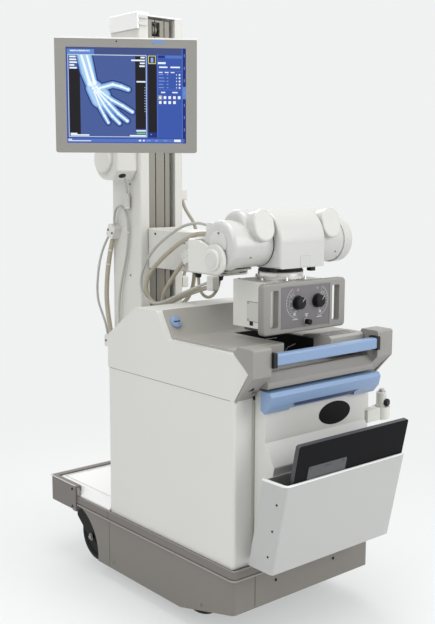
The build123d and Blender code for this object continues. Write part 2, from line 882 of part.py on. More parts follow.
# Turntable and mast of the column; the mast is an extrusion with a front channel
with BuildPart() as column_mast:
    with BuildSketch(Plane.XY.offset(col_low - 12)):
        with Locations((0, col_y)):
            Circle(bearing_r)
    extrude(amount=12)
    with BuildSketch(Plane.XY.offset(col_low)):
        with Locations((0, col_y)):
            RectangleRounded(2 * col_half_w, 2 * col_half_d, 8)
            RectangleRounded(
                2 * (col_half_w - col_wall), 2 * (col_half_d - col_wall), 5, mode=Mode.SUBTRACT
            )
        channel_mid = (channel_left + channel_right) / 2
        channel_w = channel_right - channel_left
        with Locations((channel_mid, col_y - col_half_d + channel_depth / 2 + 2)):
            Rectangle(channel_w + 2 * col_wall, channel_depth)
        with Locations((channel_mid, col_y - col_half_d + channel_depth / 2 - 3)):
            Rectangle(channel_w, channel_depth, mode=Mode.SUBTRACT)
    extrude(amount=col_top - col_low)
column_mast.part.label = "column_mast"
export_step(column_mast.part, "parts/column_mast.step")

# Rail set in the mast's channel: a beige plate with two grooves, a window and a pulley in it
with BuildPart() as column_rail:
    rail_y = col_y - col_half_d + rail_recess
    rail_deep = channel_depth - 3 - rail_recess
    with BuildSketch(Plane.XY.offset(col_low + seat)):
        with Locations(((channel_left + rail_right) / 2, rail_y + rail_deep / 2)):
            Rectangle(rail_right - channel_left - 2 * seat, rail_deep - seat)
        for groove_x in (-24, 18):
            with Locations((groove_x, rail_y)):
                Rectangle(4, 16, mode=Mode.SUBTRACT)
        with Locations((pocket_x, rail_y + rail_deep)):
            Rectangle(pocket_w, 2 * (rail_deep - 12), mode=Mode.SUBTRACT)
    extrude(amount=col_top - 10 - col_low)
    with BuildSketch(Plane.XZ.offset(-rail_y + 1)):
        with Locations((pulley_x, pulley_z)):
            Rectangle(2 * pulley_w, 2 * pulley_r + 2)
    extrude(amount=-20, mode=Mode.SUBTRACT)
    # cable pulley behind the window, on its own pin
    pulley_at = (rail_y + pulley_back, pulley_z)
    with BuildSketch(Plane.YZ.offset(pulley_x - pulley_w / 2)):
        with Locations(pulley_at):
            Circle(pulley_r)
    extrude(amount=pulley_w)
    with BuildSketch(Plane.YZ.offset(pulley_x - groove_w / 2)):
        with Locations(pulley_at):
            Circle(pulley_r)
            Circle(pulley_r - 4, mode=Mode.SUBTRACT)
    extrude(amount=groove_w, mode=Mode.SUBTRACT)
    with BuildSketch(Plane.YZ.offset(pocket_x - pocket_w / 2 + seat)):
        with Locations(pulley_at):
            Circle(pulley_pin_r)
    extrude(amount=pocket_w - 2 * seat)
column_rail.part.label = "column_rail"
export_step(column_rail.part, "parts/column_rail.step")

# Cap on the mast, with the box that hooks over its left edge
with BuildPart() as column_cap:
    cap_low = col_top + seat
    with BuildSketch(Plane.XZ.offset(-col_y - 82)):
        Polygon(
            (-col_half_w - seat, top_box_low),
            (-col_half_w - seat, cap_low),
            (-56, cap_low),
            (-56, top_box_high),
            (top_box_left, top_box_high),
            (top_box_left, top_box_low),
            align=None,
        )
    extrude(amount=top_box_len)
    chamfer(column_cap.faces().sort_by(Axis.Z)[-1].edges(), 2)
    with BuildSketch(Plane.XY.offset(cap_low)):
        with Locations((20, col_y)):
            RectangleRounded(2 * col_half_w - 40, 2 * col_half_d, 8)
    extrude(amount=5)
column_cap.part.label = "column_cap"
export_step(column_cap.part, "parts/column_cap.step")

# Hub on the column's left face: a round housing with a raised boss and a cut lower corner
with BuildPart() as hub_drum:
    with BuildSketch(Plane.YZ.offset(-col_half_w - seat)):
        with Locations((col_y, hub_z)):
            Circle(hub_r)
        Polygon(
            (col_y, hub_z + hub_r),
            (col_y - hub_front, hub_z + hub_r),
            (col_y - hub_front, hub_z - 40),
            (col_y - hub_front + 30, hub_z - hub_r),
            (col_y, hub_z - hub_r),
            align=None,
        )
    extrude(amount=hub_x + col_half_w + seat)
    fillet(hub_drum.faces().sort_by(Axis.X)[0].edges(), 8)
    with BuildSketch(Plane.YZ.offset(hub_x)):
        with Locations((col_y, hub_z)):
            Circle(boss_r)
    extrude(amount=boss_x - hub_x)
    fillet(hub_drum.faces().sort_by(Axis.X)[0].edges(), 6)
hub_drum.part.label = "hub_drum"
export_step(hub_drum.part, "parts/hub_drum.step")

# Monitor link: a post on the hub and a box beam to the swivel behind the monitor
facing = Plane(
    origin=(monitor_x, monitor_y, monitor_z),
    x_dir=Vector(1, 0, 0).rotate(Axis.Z, -monitor_turn),
    z_dir=Vector(0, -1, 0).rotate(Axis.Z, -monitor_turn),
)
swivel = facing.from_local_coords(Vector(0, 0, -swivel_back))
post = Vector(-148, col_y, monitor_z)
reach = (swivel - post).length
along = Plane(origin=post, x_dir=(swivel - post), z_dir=(0, 0, 1))
with BuildPart() as monitor_link:
    with BuildSketch(Plane.XY.offset(hub_z + hub_r + seat)):
        with Locations((post.X, post.Y)):
            Circle(24)
    extrude(amount=monitor_z - hub_z - hub_r - seat)
    with BuildSketch(along.offset(-link_h / 2)):
        with Locations((reach / 2, 0)):
            SlotCenterToCenter(reach, link_w)
    extrude(amount=link_h)
    with BuildSketch(Plane.XY.offset(monitor_z - link_h / 2)):
        with Locations((swivel.X, swivel.Y)):
            Circle(12 + bearing)
    extrude(amount=link_h, mode=Mode.SUBTRACT)
monitor_link.part.label = "monitor_link"
export_step(monitor_link.part, "parts/monitor_link.step")

# Swivel head: a pin in the link's end, cheeks above and below, and the tilt bore
with BuildPart() as monitor_swivel:
    with BuildSketch(Plane.XY.offset(monitor_z - link_h / 2 - air - 8)):
        with Locations((swivel.X, swivel.Y)):
            Circle(12)
    extrude(amount=link_h + 2 * air + 16)
    tilt_offset = swivel_back - monitor_depth - 14
    for height in (-link_h / 2 - air - 8, link_h / 2 + air):
        with BuildSketch(Plane.XY.offset(monitor_z + height)):
            with Locations(Location((swivel.X, swivel.Y, 0), -monitor_turn)):
                Rectangle(36, 36)
                with Locations((0, -tilt_offset / 2)):
                    Rectangle(36, tilt_offset)
        extrude(amount=8)
    cheek_plane = facing.offset(-swivel_back + tilt_offset)
    with BuildSketch(cheek_plane.offset(-9)):
        Rectangle(36, link_h + 2 * air + 16)
    extrude(amount=8)
    with BuildSketch(Plane(cheek_plane.origin, x_dir=cheek_plane.z_dir,
                           z_dir=cheek_plane.x_dir).offset(-45)):
        Circle(7)
    extrude(amount=90)
monitor_swivel.part.label = "monitor_swivel"
export_step(monitor_swivel.part, "parts/monitor_swivel.step")

# Monitor: bezel, sloping back and two lugs that run on the tilt pin
with BuildPart() as monitor_case:
    with BuildSketch(facing.offset(-monitor_edge)):
        RectangleRounded(monitor_w, monitor_h, 7)
    extrude(amount=monitor_edge)
    with BuildSketch(facing.offset(-monitor_edge)):
        Rectangle(monitor_w - 60, monitor_h - 60)
    extrude(amount=-(monitor_depth - monitor_edge), taper=28)
    with BuildSketch(facing):
        Rectangle(monitor_w - 2 * bezel_side, monitor_h - 2 * bezel_top)
    extrude(amount=-screen_recess, mode=Mode.SUBTRACT)
    for side in (-1, 1):
        with BuildSketch(Plane(cheek_plane.origin, x_dir=cheek_plane.z_dir,
                               z_dir=cheek_plane.x_dir).offset(side * 26)):
            Circle(13)
            with Locations((10, 0)):
                Rectangle(20, 26)
        extrude(amount=side * 14)
    with BuildSketch(Plane(cheek_plane.origin, x_dir=cheek_plane.z_dir,
                           z_dir=cheek_plane.x_dir).offset(-50)):
        Circle(7 + bearing)
    extrude(amount=100, mode=Mode.SUBTRACT)
monitor_case.part.label = "monitor_case"
export_step(monitor_case.part, "parts/monitor_case.step")

# Screen set in the bezel
with BuildPart() as monitor_screen:
    with BuildSketch(facing.offset(-screen_recess + seat)):
        Rectangle(monitor_w - 2 * bezel_side - 2 * seat, monitor_h - 2 * bezel_top - 2 * seat)
    extrude(amount=2)
monitor_screen.part.label = "monitor_screen"
export_step(monitor_screen.part, "parts/monitor_screen.step")

# Lift carriage: a block before the mast with two slide shoes in the channel and a slot blade
with BuildPart() as carriage:
    with BuildSketch(Plane.XZ.offset(-arm_rear - seat)):
        with Locations((0, arm_z)):
            RectangleRounded(2 * arm_half_w, 2 * arm_half_h + 8, 4)
    extrude(amount=-(carriage_rear - arm_rear - seat))
    with BuildSketch(Plane.XZ.offset(-carriage_rear)):
        for shoe_z in (-40, 40):
            with Locations((-9, arm_z + shoe_z)):
                Rectangle(76, 34)
    extrude(amount=-(rail_y - seat - carriage_rear))
    with BuildSketch(Plane.XZ.offset(-carriage_rear)):
        with Locations(((rail_right + channel_right) / 2, arm_z)):
            Rectangle(10, 100)
    extrude(amount=-(channel_depth - 20))
carriage.part.label = "carriage"
export_step(carriage.part, "parts/carriage.step")


def tube_stage(front, rear, half_w, half_h, wall):
    """A box tube along Y, open at both ends."""
    with BuildPart() as stage:
        with BuildSketch(Plane.XZ.offset(-front)):
            with Locations((0, arm_z)):
                RectangleRounded(2 * half_w, 2 * half_h, 4)
                RectangleRounded(2 * (half_w - wall), 2 * (half_h - wall), 2, mode=Mode.SUBTRACT)
        extrude(amount=-(rear - front))
    return stage.part


def slide_pads(y, half_w, half_h, inward):
    """Four flat strips at y that fill a stage's gap: inward from its bore or out from its skin."""
    thick = air - seat
    step = -thick / 2 if inward else thick / 2
    with BuildPart() as pads:
        with BuildSketch(Plane.XZ.offset(-y)):
            for side in (-1, 1):
                with Locations((0, arm_z + side * (half_h + step))):
                    Rectangle(half_w, thick)
                with Locations((side * (half_w + step), arm_z)):
                    Rectangle(thick, half_h)
        extrude(amount=-24)
    return pads.part


# Telescopic arm: an outer tube on the carriage, a middle stage and an inner stage
mid_half_w = arm_half_w - arm_wall - air
mid_half_h = arm_half_h - arm_wall - air
inner_half_w = mid_half_w - 4 - air
inner_half_h = mid_half_h - 4 - air
arm_outer = tube_stage(arm_front, arm_rear, arm_half_w, arm_half_h, arm_wall)
arm_outer += slide_pads(arm_front + 4, arm_half_w - arm_wall, arm_half_h - arm_wall, True)
arm_outer.label = "arm_outer"
export_step(arm_outer, "parts/arm_outer.step")

arm_middle = tube_stage(mid_front, mid_rear, mid_half_w, mid_half_h, 4)
arm_middle += slide_pads(mid_rear - 40, mid_half_w, mid_half_h, False)
arm_middle += slide_pads(mid_front + 4, mid_half_w - 4, mid_half_h - 4, True)
arm_middle.label = "arm_middle"
export_step(arm_middle, "parts/arm_middle.step")

arm_inner = tube_stage(yoke_back + seat, inner_rear, inner_half_w, inner_half_h, 4)
arm_inner += slide_pads(inner_rear - 40, inner_half_w, inner_half_h, False)
arm_inner.label = "arm_inner"
export_step(arm_inner, "parts/arm_inner.step")

# Yoke: one casting from the arm's end round to a single cheek at the head's left end
with BuildPart() as yoke:
    cheek_in = yoke_left + yoke_plate
    yoke_rear = yoke_back - 15
    with BuildSketch(Plane.XY.offset(yoke_low)):
        with BuildLine():
            Polyline(
                (yoke_left, pivot_y - yoke_end_r),
                (yoke_left, yoke_back - 65),
                (yoke_left + 50, yoke_rear),
                (-150, yoke_rear),
                (-130, yoke_back),
                (arm_half_w, yoke_back),
                (arm_half_w, yoke_rear - 10),
                (-203, yoke_rear - 10),
                (-203, yoke_rear - 46),
                (yoke_left + 28, yoke_rear - 46),
                (cheek_in, yoke_rear - 62),
                (cheek_in, pivot_y - yoke_end_r),
                (yoke_left, pivot_y - yoke_end_r),
            )
        make_face()
    extrude(amount=yoke_high - yoke_low)
    # the cheek's end is rounded about the pivot and its top edge slopes down to it
    end_angle = radians(56)
    arc_start = (pivot_y + yoke_end_r * cos(end_angle), pivot_z + yoke_end_r * sin(end_angle))
    with BuildSketch(Plane.YZ.offset(yoke_left - 1)):
        with BuildLine():
            Polyline(
                (pivot_y, pivot_z - yoke_end_r),
                (pivot_y, pivot_z - yoke_end_r - 1),
                (pivot_y - yoke_end_r - 1, pivot_z - yoke_end_r - 1),
                (pivot_y - yoke_end_r - 1, yoke_high + 1),
                (pivot_y + 78, yoke_high + 1),
                arc_start,
            )
            ThreePointArc(arc_start, (pivot_y - yoke_end_r, pivot_z), (pivot_y, pivot_z - yoke_end_r))
        make_face()
    extrude(amount=40, mode=Mode.SUBTRACT)
    with BuildSketch(Plane.YZ.offset(yoke_left)):
        with Locations((pivot_y, pivot_z)):
            Circle(34)
    extrude(amount=-9)
    fillet(yoke.faces().sort_by(Axis.X)[0].edges(), 5)
    with BuildSketch(Plane.YZ.offset(cheek_in)):
        with Locations((pivot_y, pivot_z)):
            Circle(pivot_r)
    extrude(amount=30)
yoke.part.label = "yoke"
export_step(yoke.part, "parts/yoke.step")

# Centre housing of the tube head, rounded over the top, with the port ring below
with BuildPart() as head_centre:
    with BuildSketch(Plane.YZ.offset(-centre_half_w)):
        with BuildLine():
            Polyline(
                (tube_y + centre_r - 6, tube_z),
                (tube_y + centre_r - 6, centre_low),
                (centre_front, centre_low),
                (centre_front, tube_z),
            )
            ThreePointArc(
                (centre_front, tube_z),
                (tube_y - 2, tube_z + centre_r + 2),
                (tube_y + centre_r - 6, tube_z),
            )
        make_face()
    extrude(amount=2 * centre_half_w)
    fillet(head_centre.faces().sort_by(Axis.X)[0].edges(), 9)
    fillet(head_centre.faces().sort_by(Axis.X)[-1].edges(), 9)
    with BuildSketch(Plane.XY.offset(centre_low)):
        with Locations((0, tube_y)):
            Circle(flange_r - 6)
    extrude(amount=-port_h)
head_centre.part.label = "head_centre"
export_step(head_centre.part, "parts/head_centre.step")

# End drums of the tube head: each has a stepped cap, an upper body, a flat-ended horn and
# a cable outlet
for tag, side in (("left", -1), ("right", 1)):
    start_x = side * (centre_half_w + seat)
    with BuildPart() as upper_body:
        with BuildSketch(Plane.YZ.offset(start_x)):
            with Locations((upper_y, upper_z)):
                Circle(upper_r)
        extrude(amount=side * upper_end - start_x)
        upper_cap = upper_body.faces().sort_by(Axis.X)[0 if side < 0 else -1]
        fillet(upper_cap.edges(), 19)
    with BuildPart() as drum:
        cap_x = side * (tube_half_len - cap_len)
        with BuildSketch(Plane.YZ.offset(start_x)):
            with Locations((tube_y, tube_z)):
                Circle(drum_r)
        extrude(amount=cap_x - start_x)
        with BuildSketch(Plane.YZ.offset(cap_x)):
            with Locations((tube_y, tube_z)):
                Circle(cap_r)
        extrude(amount=side * tube_half_len - cap_x)
        end = drum.faces().sort_by(Axis.X)[0 if side < 0 else -1]
        fillet(end.edges(), 14)
        add(upper_body.part)
        with BuildSketch(Plane.YZ.offset(side * tube_half_len)):
            with Locations((tube_y, tube_z + 6)):
                Circle(42)
        extrude(amount=side * 2.5)
        horn = Plane(
            origin=(side * horn_x, horn_face, horn_z),
            x_dir=(1, 0, 0),
            z_dir=(0, -1, tan(radians(horn_tilt))),
        )
        with BuildSketch(horn):
            SlotOverall(horn_h, horn_w, rotation=90)
        extrude(amount=-70)
        fillet(drum.faces().filter_by(horn).edges(), 5)
        outlet = Plane(
            origin=(side * horn_x, tube_y + 74, tube_z + 74),
            x_dir=(1, 0, 0),
            z_dir=(0, 1, 1),
        )
        with BuildSketch(outlet):
            Circle(24)
        extrude(amount=-60)
        if side < 0:
            with BuildSketch(Plane.YZ.offset(-tube_half_len - 5)):
                with Locations((pivot_y, pivot_z)):
                    Circle(pivot_r + bearing)
            extrude(amount=32, mode=Mode.SUBTRACT)
    drum.part.label = f"head_drum_{tag}"
    export_step(drum.part, f"parts/head_drum_{tag}.step")

# Collimator box with its swivel ring and the accessory rails below
with BuildPart() as collimator_box:
    with BuildSketch(Plane.XY.offset(box_low)):
        with Locations((0, (box_front + box_rear) / 2)):
            Rectangle(2 * box_half_w, box_rear - box_front)
    extrude(amount=box_high - box_low)
    fillet(collimator_box.edges().filter_by(Axis.Z), 6)
    with BuildSketch(Plane.XY.offset(box_high)):
        with Locations((0, tube_y)):
            Circle(flange_r)
    extrude(amount=centre_low - port_h - seat - box_high)
    with BuildSketch(Plane.XY.offset(box_low)):
        for side in (-1, 1):
            with Locations((side * 80, tube_y)):
                Rectangle(14, 150)
    extrude(amount=-13)
    with BuildSketch(Plane.XY.offset(box_low - 13)):
        for side in (-1, 1):
            with Locations((side * 72, tube_y)):
                Rectangle(30, 150)
    extrude(amount=3)
collimator_box.part.label = "collimator_box"
export_step(collimator_box.part, "parts/collimator_box.step")

# Collimator face: a wide frame with a grip opening at each side
with BuildPart() as collimator_face:
    face_h = box_high + 4 - face_low
    face_mid = (box_high + 4 + face_low) / 2
    with BuildSketch(Plane.XZ.offset(-box_front + seat)):
        with Locations((0, face_mid)):
            RectangleRounded(2 * face_half_w, face_h, 14)
    extrude(amount=box_front - seat - face_front)
    fillet(collimator_face.faces().sort_by(Axis.Y)[0].edges(), 6)
    with BuildSketch(Plane.XZ.offset(-face_front)):
        with Locations((0, face_mid)):
            Rectangle(220, face_h - 26)
    extrude(amount=-2, mode=Mode.SUBTRACT)
    with BuildSketch(Plane.XZ.offset(-face_front + 30)):
        with Locations(*[(side * grip_x, face_mid) for side in (-1, 1)]):
            RectangleRounded(grip_w, grip_h, 6)
    extrude(amount=-80, mode=Mode.SUBTRACT)
collimator_face.part.label = "collimator_face"
export_step(collimator_face.part, "parts/collimator_face.step")

# Two field size knobs and one lamp button on the collimator's face
with BuildPart() as collimator_knobs:
    with BuildSketch(Plane.XZ.offset(-face_front - 2 + seat)):
        for knob_x in (-36, 52):
            with Locations((knob_x, face_mid + 14)):
                RegularPolygon(20, 12)
        with Locations((4, face_mid - 50)):
            Circle(9)
    extrude(amount=20)
    knob_ends = collimator_knobs.faces().filter_by(Plane.XZ).group_by(Axis.Y)[0]
    fillet(knob_ends.edges(), 2)
collimator_knobs.part.label = "collimator_knobs"
export_step(collimator_knobs.part, "parts/collimator_knobs.step")


# Cords: straight runs joined by bends as large as their runs allow
def bend_radii(points):
    """One radius for each inner point: 0.45 of its shorter run over tan(half the turn)."""
    radii = []
    for before, here, after in zip(points, points[1:], points[2:]):
        run_in = Vector(*here) - Vector(*before)
        run_out = Vector(*after) - Vector(*here)
        turn = run_in.get_angle(run_out)
        shorter = min(run_in.length, run_out.length)
        radii.append(0.45 * shorter / tan(radians(turn / 2)))
    return radii


def cord(node, points, diameter):
    """A cord's tube along its route, written as one node."""
    radii = bend_radii(points)
    with BuildPart() as tube:
        with BuildLine() as route:
            FilletPolyline(*points, radius=radii)
        start = Vector(*points[1]) - Vector(*points[0])
        with BuildSketch(Plane(origin=points[0], z_dir=start)):
            Circle(diameter / 2)
        sweep()
    length = sum(edge.length for edge in route.edges())
    share = tube.part.volume / (length * pi * diameter**2 / 4)
    smallest = min(radii) / diameter
    print(f"{node}: {length:.0f} long, {smallest:.1f} diameters, volume share {share:.4f}")
    tube.part.label = node
    export_step(tube.part, f"parts/{node}.step")


# Routes: name, diameter, points
column_cords = (
    ("cable_column_thick", 18, (
        (-114, 386, 1262), (-119, 398, 1212), (-124, 407, 1161), (-127, 415, 1110),
        (-128, 421, 1058), (-128, 424, 1006), (-125, 422, 954), (-122, 415, 903), (-119, 406, 852))),
    ("cable_column_thin", 9, (
        (-121, 402, 1258), (-136, 417, 1216), (-146, 430, 1172), (-150, 441, 1126),
        (-149, 452, 1080), (-147, 460, 1034), (-143, 460, 987), (-134, 447, 942), (-125, 433, 898),
        (-120, 430, 852))),
    ("cable_column_pair", 9, (
        (-118, 370, 1262), (-119, 378, 1287), (-119, 379, 1313), (-119, 372, 1338),
        (-118, 356, 1357), (-117, 330, 1359), (-115, 310, 1344), (-114, 300, 1320),
        (-113, 296, 1294), (-112, 296, 1268), (-112, 298, 1232), (-112, 306, 1187),
        (-113, 320, 1137), (-114, 338, 1082), (-116, 351, 1025), (-117, 356, 968),
        (-119, 353, 910), (-121, 347, 852))),
    ("cable_column_back", 13, (
        (113, 262, 1392), (115, 250, 1356), (131, 239, 1323), (152, 233, 1292), (162, 230, 1255),
        (160, 231, 1217), (149, 235, 1181), (134, 243, 1147), (122, 250, 1111), (114, 254, 1074))),
    ("cable_hub", 6, (
        (-150, 266, 1482), (-137, 277, 1456), (-123, 289, 1432), (-114, 298, 1404))),
)
carriage_cords = (
    ("cable_loop_thick", 15, (
        (-82, -152, 1276), (-92, -110, 1280), (-103, -70, 1267), (-111, -32, 1248),
        (-118, 5, 1226), (-125, 40, 1201), (-131, 74, 1174), (-137, 106, 1145), (-143, 133, 1111),
        (-146, 144, 1069), (-139, 130, 1029), (-127, 94, 1010), (-115, 51, 1019), (-104, 11, 1040),
        (-98, -29, 1057), (-92, -70, 1072), (-87, -111, 1086), (-82, -152, 1098))),
    ("cable_loop_thin", 10, (
        (-82, -152, 1302), (-93, -115, 1314), (-104, -77, 1311), (-114, -39, 1301),
        (-122, -4, 1283), (-129, 30, 1262), (-136, 63, 1240), (-142, 94, 1214), (-148, 120, 1184),
        (-153, 141, 1150), (-157, 154, 1112), (-157, 155, 1072), (-155, 137, 1036),
        (-148, 102, 1019), (-140, 63, 1023), (-133, 26, 1037), (-126, -10, 1054),
        (-118, -46, 1070), (-109, -83, 1085), (-98, -118, 1101), (-82, -152, 1116))),
    ("cable_sleeve", 15, (
        (-82, -20, 1190), (-90, 6, 1159), (-95, 32, 1128), (-98, 59, 1097), (-100, 85, 1065),
        (-97, 107, 1031), (-82, 123, 997), (-46, 130, 980), (-7, 124, 990), (20, 110, 1017),
        (32, 96, 1053), (34, 86, 1093), (34, 82, 1133.7))),
    ("cable_hanging", 11, (
        (-50, -42, 1133.7), (-50, -43, 1105), (-50, -49, 1077), (-50, -68, 1057), (-50, -96, 1051),
        (-50, -122, 1061), (-50, -142, 1081), (-50, -156, 1106), (-50, -160, 1133.7))),
)
for cord_name, cord_d, cord_points in column_cords + carriage_cords:
    cord(cord_name, cord_points, cord_d)

# Cable clamps on the column: blocks as (y, z, length, height, turn) on each side face
left_blocks = (
    (384, 1262, 44, 50, 25),
    (384, 838, 100, 47, 0),
)
right_blocks = (
    (262, 1400, 34, 44, 0),
    (254, 1066, 34, 44, 0),
)
with BuildPart() as column_clamps:
    for side, blocks, thick in ((-1, left_blocks, 34), (1, right_blocks, 26)):
        with BuildSketch(Plane.YZ.offset(side * (col_half_w + seat))):
            for block_y, block_z, block_len, block_h, block_turn in blocks:
                with Locations((block_y, block_z)):
                    RectangleRounded(block_len, block_h, 8, rotation=block_turn)
        extrude(amount=side * thick)
    # plug at the end of the hub's cable, which lies against the column's face
    with BuildSketch(Plane.XY.offset(plug_low)):
        with Locations((plug_x, plug_y)):
            Circle(plug_r)
    extrude(amount=plug_h, taper=4)
column_clamps.part.label = "column_clamps"
export_step(column_clamps.part, "parts/column_clamps.step")

# Cable clamps on the arm's left face: (y, z, length, height, turn)
arm_blocks = (
    (-24, 1192, 44, 44, -25),
    (-155, 1284, 34, 64, 0),
    (-157, 1110, 32, 52, 0),
)
with BuildPart() as arm_clamps:
    with BuildSketch(Plane.YZ.offset(-arm_half_w - seat)):
        for block_y, block_z, block_len, block_h, block_turn in arm_blocks:
            with Locations((block_y, block_z)):
                RectangleRounded(block_len, block_h, 8, rotation=block_turn)
    extrude(amount=-28)
arm_clamps.part.label = "arm_clamps"
export_step(arm_clamps.part, "parts/arm_clamps.step")
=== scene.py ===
from math import atan2, cos, degrees, pi, radians, sin

import bmesh
import bpy
from mathutils import Matrix, Vector


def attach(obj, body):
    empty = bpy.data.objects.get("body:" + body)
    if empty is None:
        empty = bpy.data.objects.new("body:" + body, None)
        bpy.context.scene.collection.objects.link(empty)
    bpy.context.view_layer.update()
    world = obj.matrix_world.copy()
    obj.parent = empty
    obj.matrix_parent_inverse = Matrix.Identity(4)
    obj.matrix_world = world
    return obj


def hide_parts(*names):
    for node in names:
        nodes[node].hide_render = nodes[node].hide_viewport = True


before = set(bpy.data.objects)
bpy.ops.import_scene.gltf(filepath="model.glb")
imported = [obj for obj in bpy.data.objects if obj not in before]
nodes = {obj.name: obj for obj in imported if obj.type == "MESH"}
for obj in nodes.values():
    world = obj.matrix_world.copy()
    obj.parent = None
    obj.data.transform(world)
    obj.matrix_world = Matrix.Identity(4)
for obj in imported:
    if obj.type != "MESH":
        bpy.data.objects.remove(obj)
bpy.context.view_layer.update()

scene = bpy.context.scene
scene.view_settings.view_transform = "Standard"


# Camera, fitted to the photograph
cam_data = bpy.data.cameras.new("camera")
cam_data.sensor_fit = "VERTICAL"
cam_data.sensor_height = 36
cam_data.lens = 54.44
camera = bpy.data.objects.new("camera", cam_data)
scene.collection.objects.link(camera)
camera.location = (-2.1366, -2.6122, 1.4834)
camera.rotation_euler = (radians(90 - 8.4), radians(-0.2), radians(-40.22))
scene.camera = camera


# Materials
def wire(tree, node, sockets):
    """Set sockets of a node, by name or number, to values, or link them to another node's output."""
    for key, value in sockets.items():
        if isinstance(value, bpy.types.NodeSocket):
            tree.links.new(value, node.inputs[key])
        else:
            node.inputs[key].default_value = value
    return node


def add_node(tree, kind, sockets=(), **settings):
    """New shader node: its settings first, because they decide which sockets it has."""
    node = tree.nodes.new("ShaderNode" + kind)
    for key, value in settings.items():
        setattr(node, key, value)
    return wire(tree, node, dict(sockets))


def new_material(name):
    """Material with its node tree and its shader."""
    mat = bpy.data.materials.new(name)
    mat.use_nodes = True
    return mat, mat.node_tree, mat.node_tree.nodes["Principled BSDF"]


ROUGH_SPREAD = 0.06  # how far dust moves the roughness up and down


def paint(name, color, rough=0.5, metal=0.0, coat=0.0, mottle=0.03, grain=0.0, grain_scale=900.0,
          scuff=0.0, spec=0.5):
    """Painted, moulded or metal surface: faint mottling, fine grain in the bump, dust in the roughness."""
    mat, tree, bsdf = new_material(name)
    wire(tree, bsdf, {"Metallic": metal, "Coat Weight": coat, "Coat Roughness": 0.15,
                      "Specular IOR Level": spec})
    place_on = add_node(tree, "TexCoord").outputs["Object"]
    broad = add_node(tree, "TexNoise", {"Scale": 3.5, "Detail": 6, "Vector": place_on}).outputs["Fac"]
    darker = (*[max(0.0, c * (1 - mottle)) for c in color], 1)
    lighter = (*[min(1.0, c * (1 + mottle)) for c in color], 1)
    base = add_node(tree, "Mix", {"A": darker, "B": lighter, "Factor": broad}, data_type="RGBA")
    if scuff:
        marks = add_node(tree, "TexNoise", {"Scale": 26, "Detail": 9, "Roughness": 0.7, "Vector": place_on})
        cut = add_node(tree, "MapRange", {"From Min": 0.58, "From Max": 0.72, "Value": marks.outputs["Fac"]})
        share = add_node(tree, "Math", {0: cut.outputs["Result"], 1: scuff}, operation="MULTIPLY")
        worn = (*[min(1.0, c * 1.25 + 0.03) for c in color], 1)
        base = add_node(tree, "Mix", {"Factor": share.outputs[0], "A": base.outputs["Result"], "B": worn},
                        data_type="RGBA")
    dust = add_node(tree, "MapRange", {"To Min": max(0.02, rough - ROUGH_SPREAD),
                                       "To Max": min(1.0, rough + ROUGH_SPREAD), "Value": broad})
    wire(tree, bsdf, {"Base Color": base.outputs["Result"], "Roughness": dust.outputs["Result"]})
    if grain:
        fine = add_node(tree, "TexNoise", {"Scale": grain_scale, "Detail": 3, "Vector": place_on})
        bump = add_node(tree, "Bump", {"Strength": grain, "Distance": 0.0006, "Height": fine.outputs["Fac"]})
        wire(tree, bsdf, {"Normal": bump.outputs["Normal"]})
    return mat


def brushed(name, color, rough=0.35, metal=1.0, axis_scale=(40, 40, 900)):
    """Metal with fine lines drawn along one axis."""
    mat = paint(name, color, rough=rough, metal=metal, mottle=0.04)
    tree = mat.node_tree
    place_on = add_node(tree, "TexCoord").outputs["Object"]
    mapping = add_node(tree, "Mapping", {"Scale": axis_scale, "Vector": place_on})
    lines = add_node(tree, "TexNoise", {"Scale": 1.0, "Detail": 4, "Vector": mapping.outputs["Vector"]})
    bump = add_node(tree, "Bump", {"Strength": 0.12, "Distance": 0.0005, "Height": lines.outputs["Fac"]})
    wire(tree, tree.nodes["Principled BSDF"], {"Normal": bump.outputs["Normal"]})
    return mat


def glow(name, color, strength=1.0):
    """A lit surface of a screen or lamp."""
    mat, tree, bsdf = new_material(name)
    wire(tree, bsdf, {"Base Color": (*[c * 0.08 for c in color], 1), "Roughness": 0.5,
                      "Specular IOR Level": 0.12, "Emission Color": (*color, 1),
                      "Emission Strength": strength})
    return mat


white_paint = paint("white_paint", (0.66, 0.655, 0.625), rough=0.42, mottle=0.02, grain=0.12,
                    grain_scale=700)
head_shell = paint("head_shell", (0.56, 0.557, 0.535), rough=0.28, coat=0.3, mottle=0.015, grain=0.05,
                   grain_scale=500)
white_shell = paint("white_shell", (0.82, 0.815, 0.80), rough=0.28, coat=0.3, mottle=0.015, grain=0.05,
                    grain_scale=500)
ivory_paint = paint("ivory_paint", (0.66, 0.65, 0.61), rough=0.42, mottle=0.02, grain=0.12,
                    grain_scale=700)
platform_paint = paint("platform_paint", (0.88, 0.878, 0.865), rough=0.45, mottle=0.03, scuff=0.15,
                       grain=0.1)
grey_mould = paint("grey_mould", (0.285, 0.272, 0.255), rough=0.5, mottle=0.05, grain=0.45,
                   grain_scale=850, scuff=0.08)
strip_rubber = paint("strip_rubber", (0.175, 0.158, 0.148), rough=0.6, mottle=0.08, grain=0.35,
                     scuff=0.15)
skirt_paint = paint("skirt_paint", (0.195, 0.179, 0.160), rough=0.5, mottle=0.06, grain=0.25, scuff=0.12)
blue_mould = paint("blue_mould", (0.215, 0.32, 0.505), rough=0.33, coat=0.3, mottle=0.03, grain=0.25,
                   grain_scale=800)
black_mould = paint("black_mould", (0.011, 0.011, 0.012), rough=0.5, mottle=0.2, grain=0.25, spec=0.3)
tyre_rubber = paint("tyre_rubber", (0.012, 0.012, 0.013), rough=0.75, mottle=0.25, grain=0.4,
                    scuff=0.35, spec=0.35)
fork_black = paint("fork_black", (0.007, 0.007, 0.008), rough=0.5, mottle=0.2, grain=0.2, scuff=0.05,
                   spec=0.15)
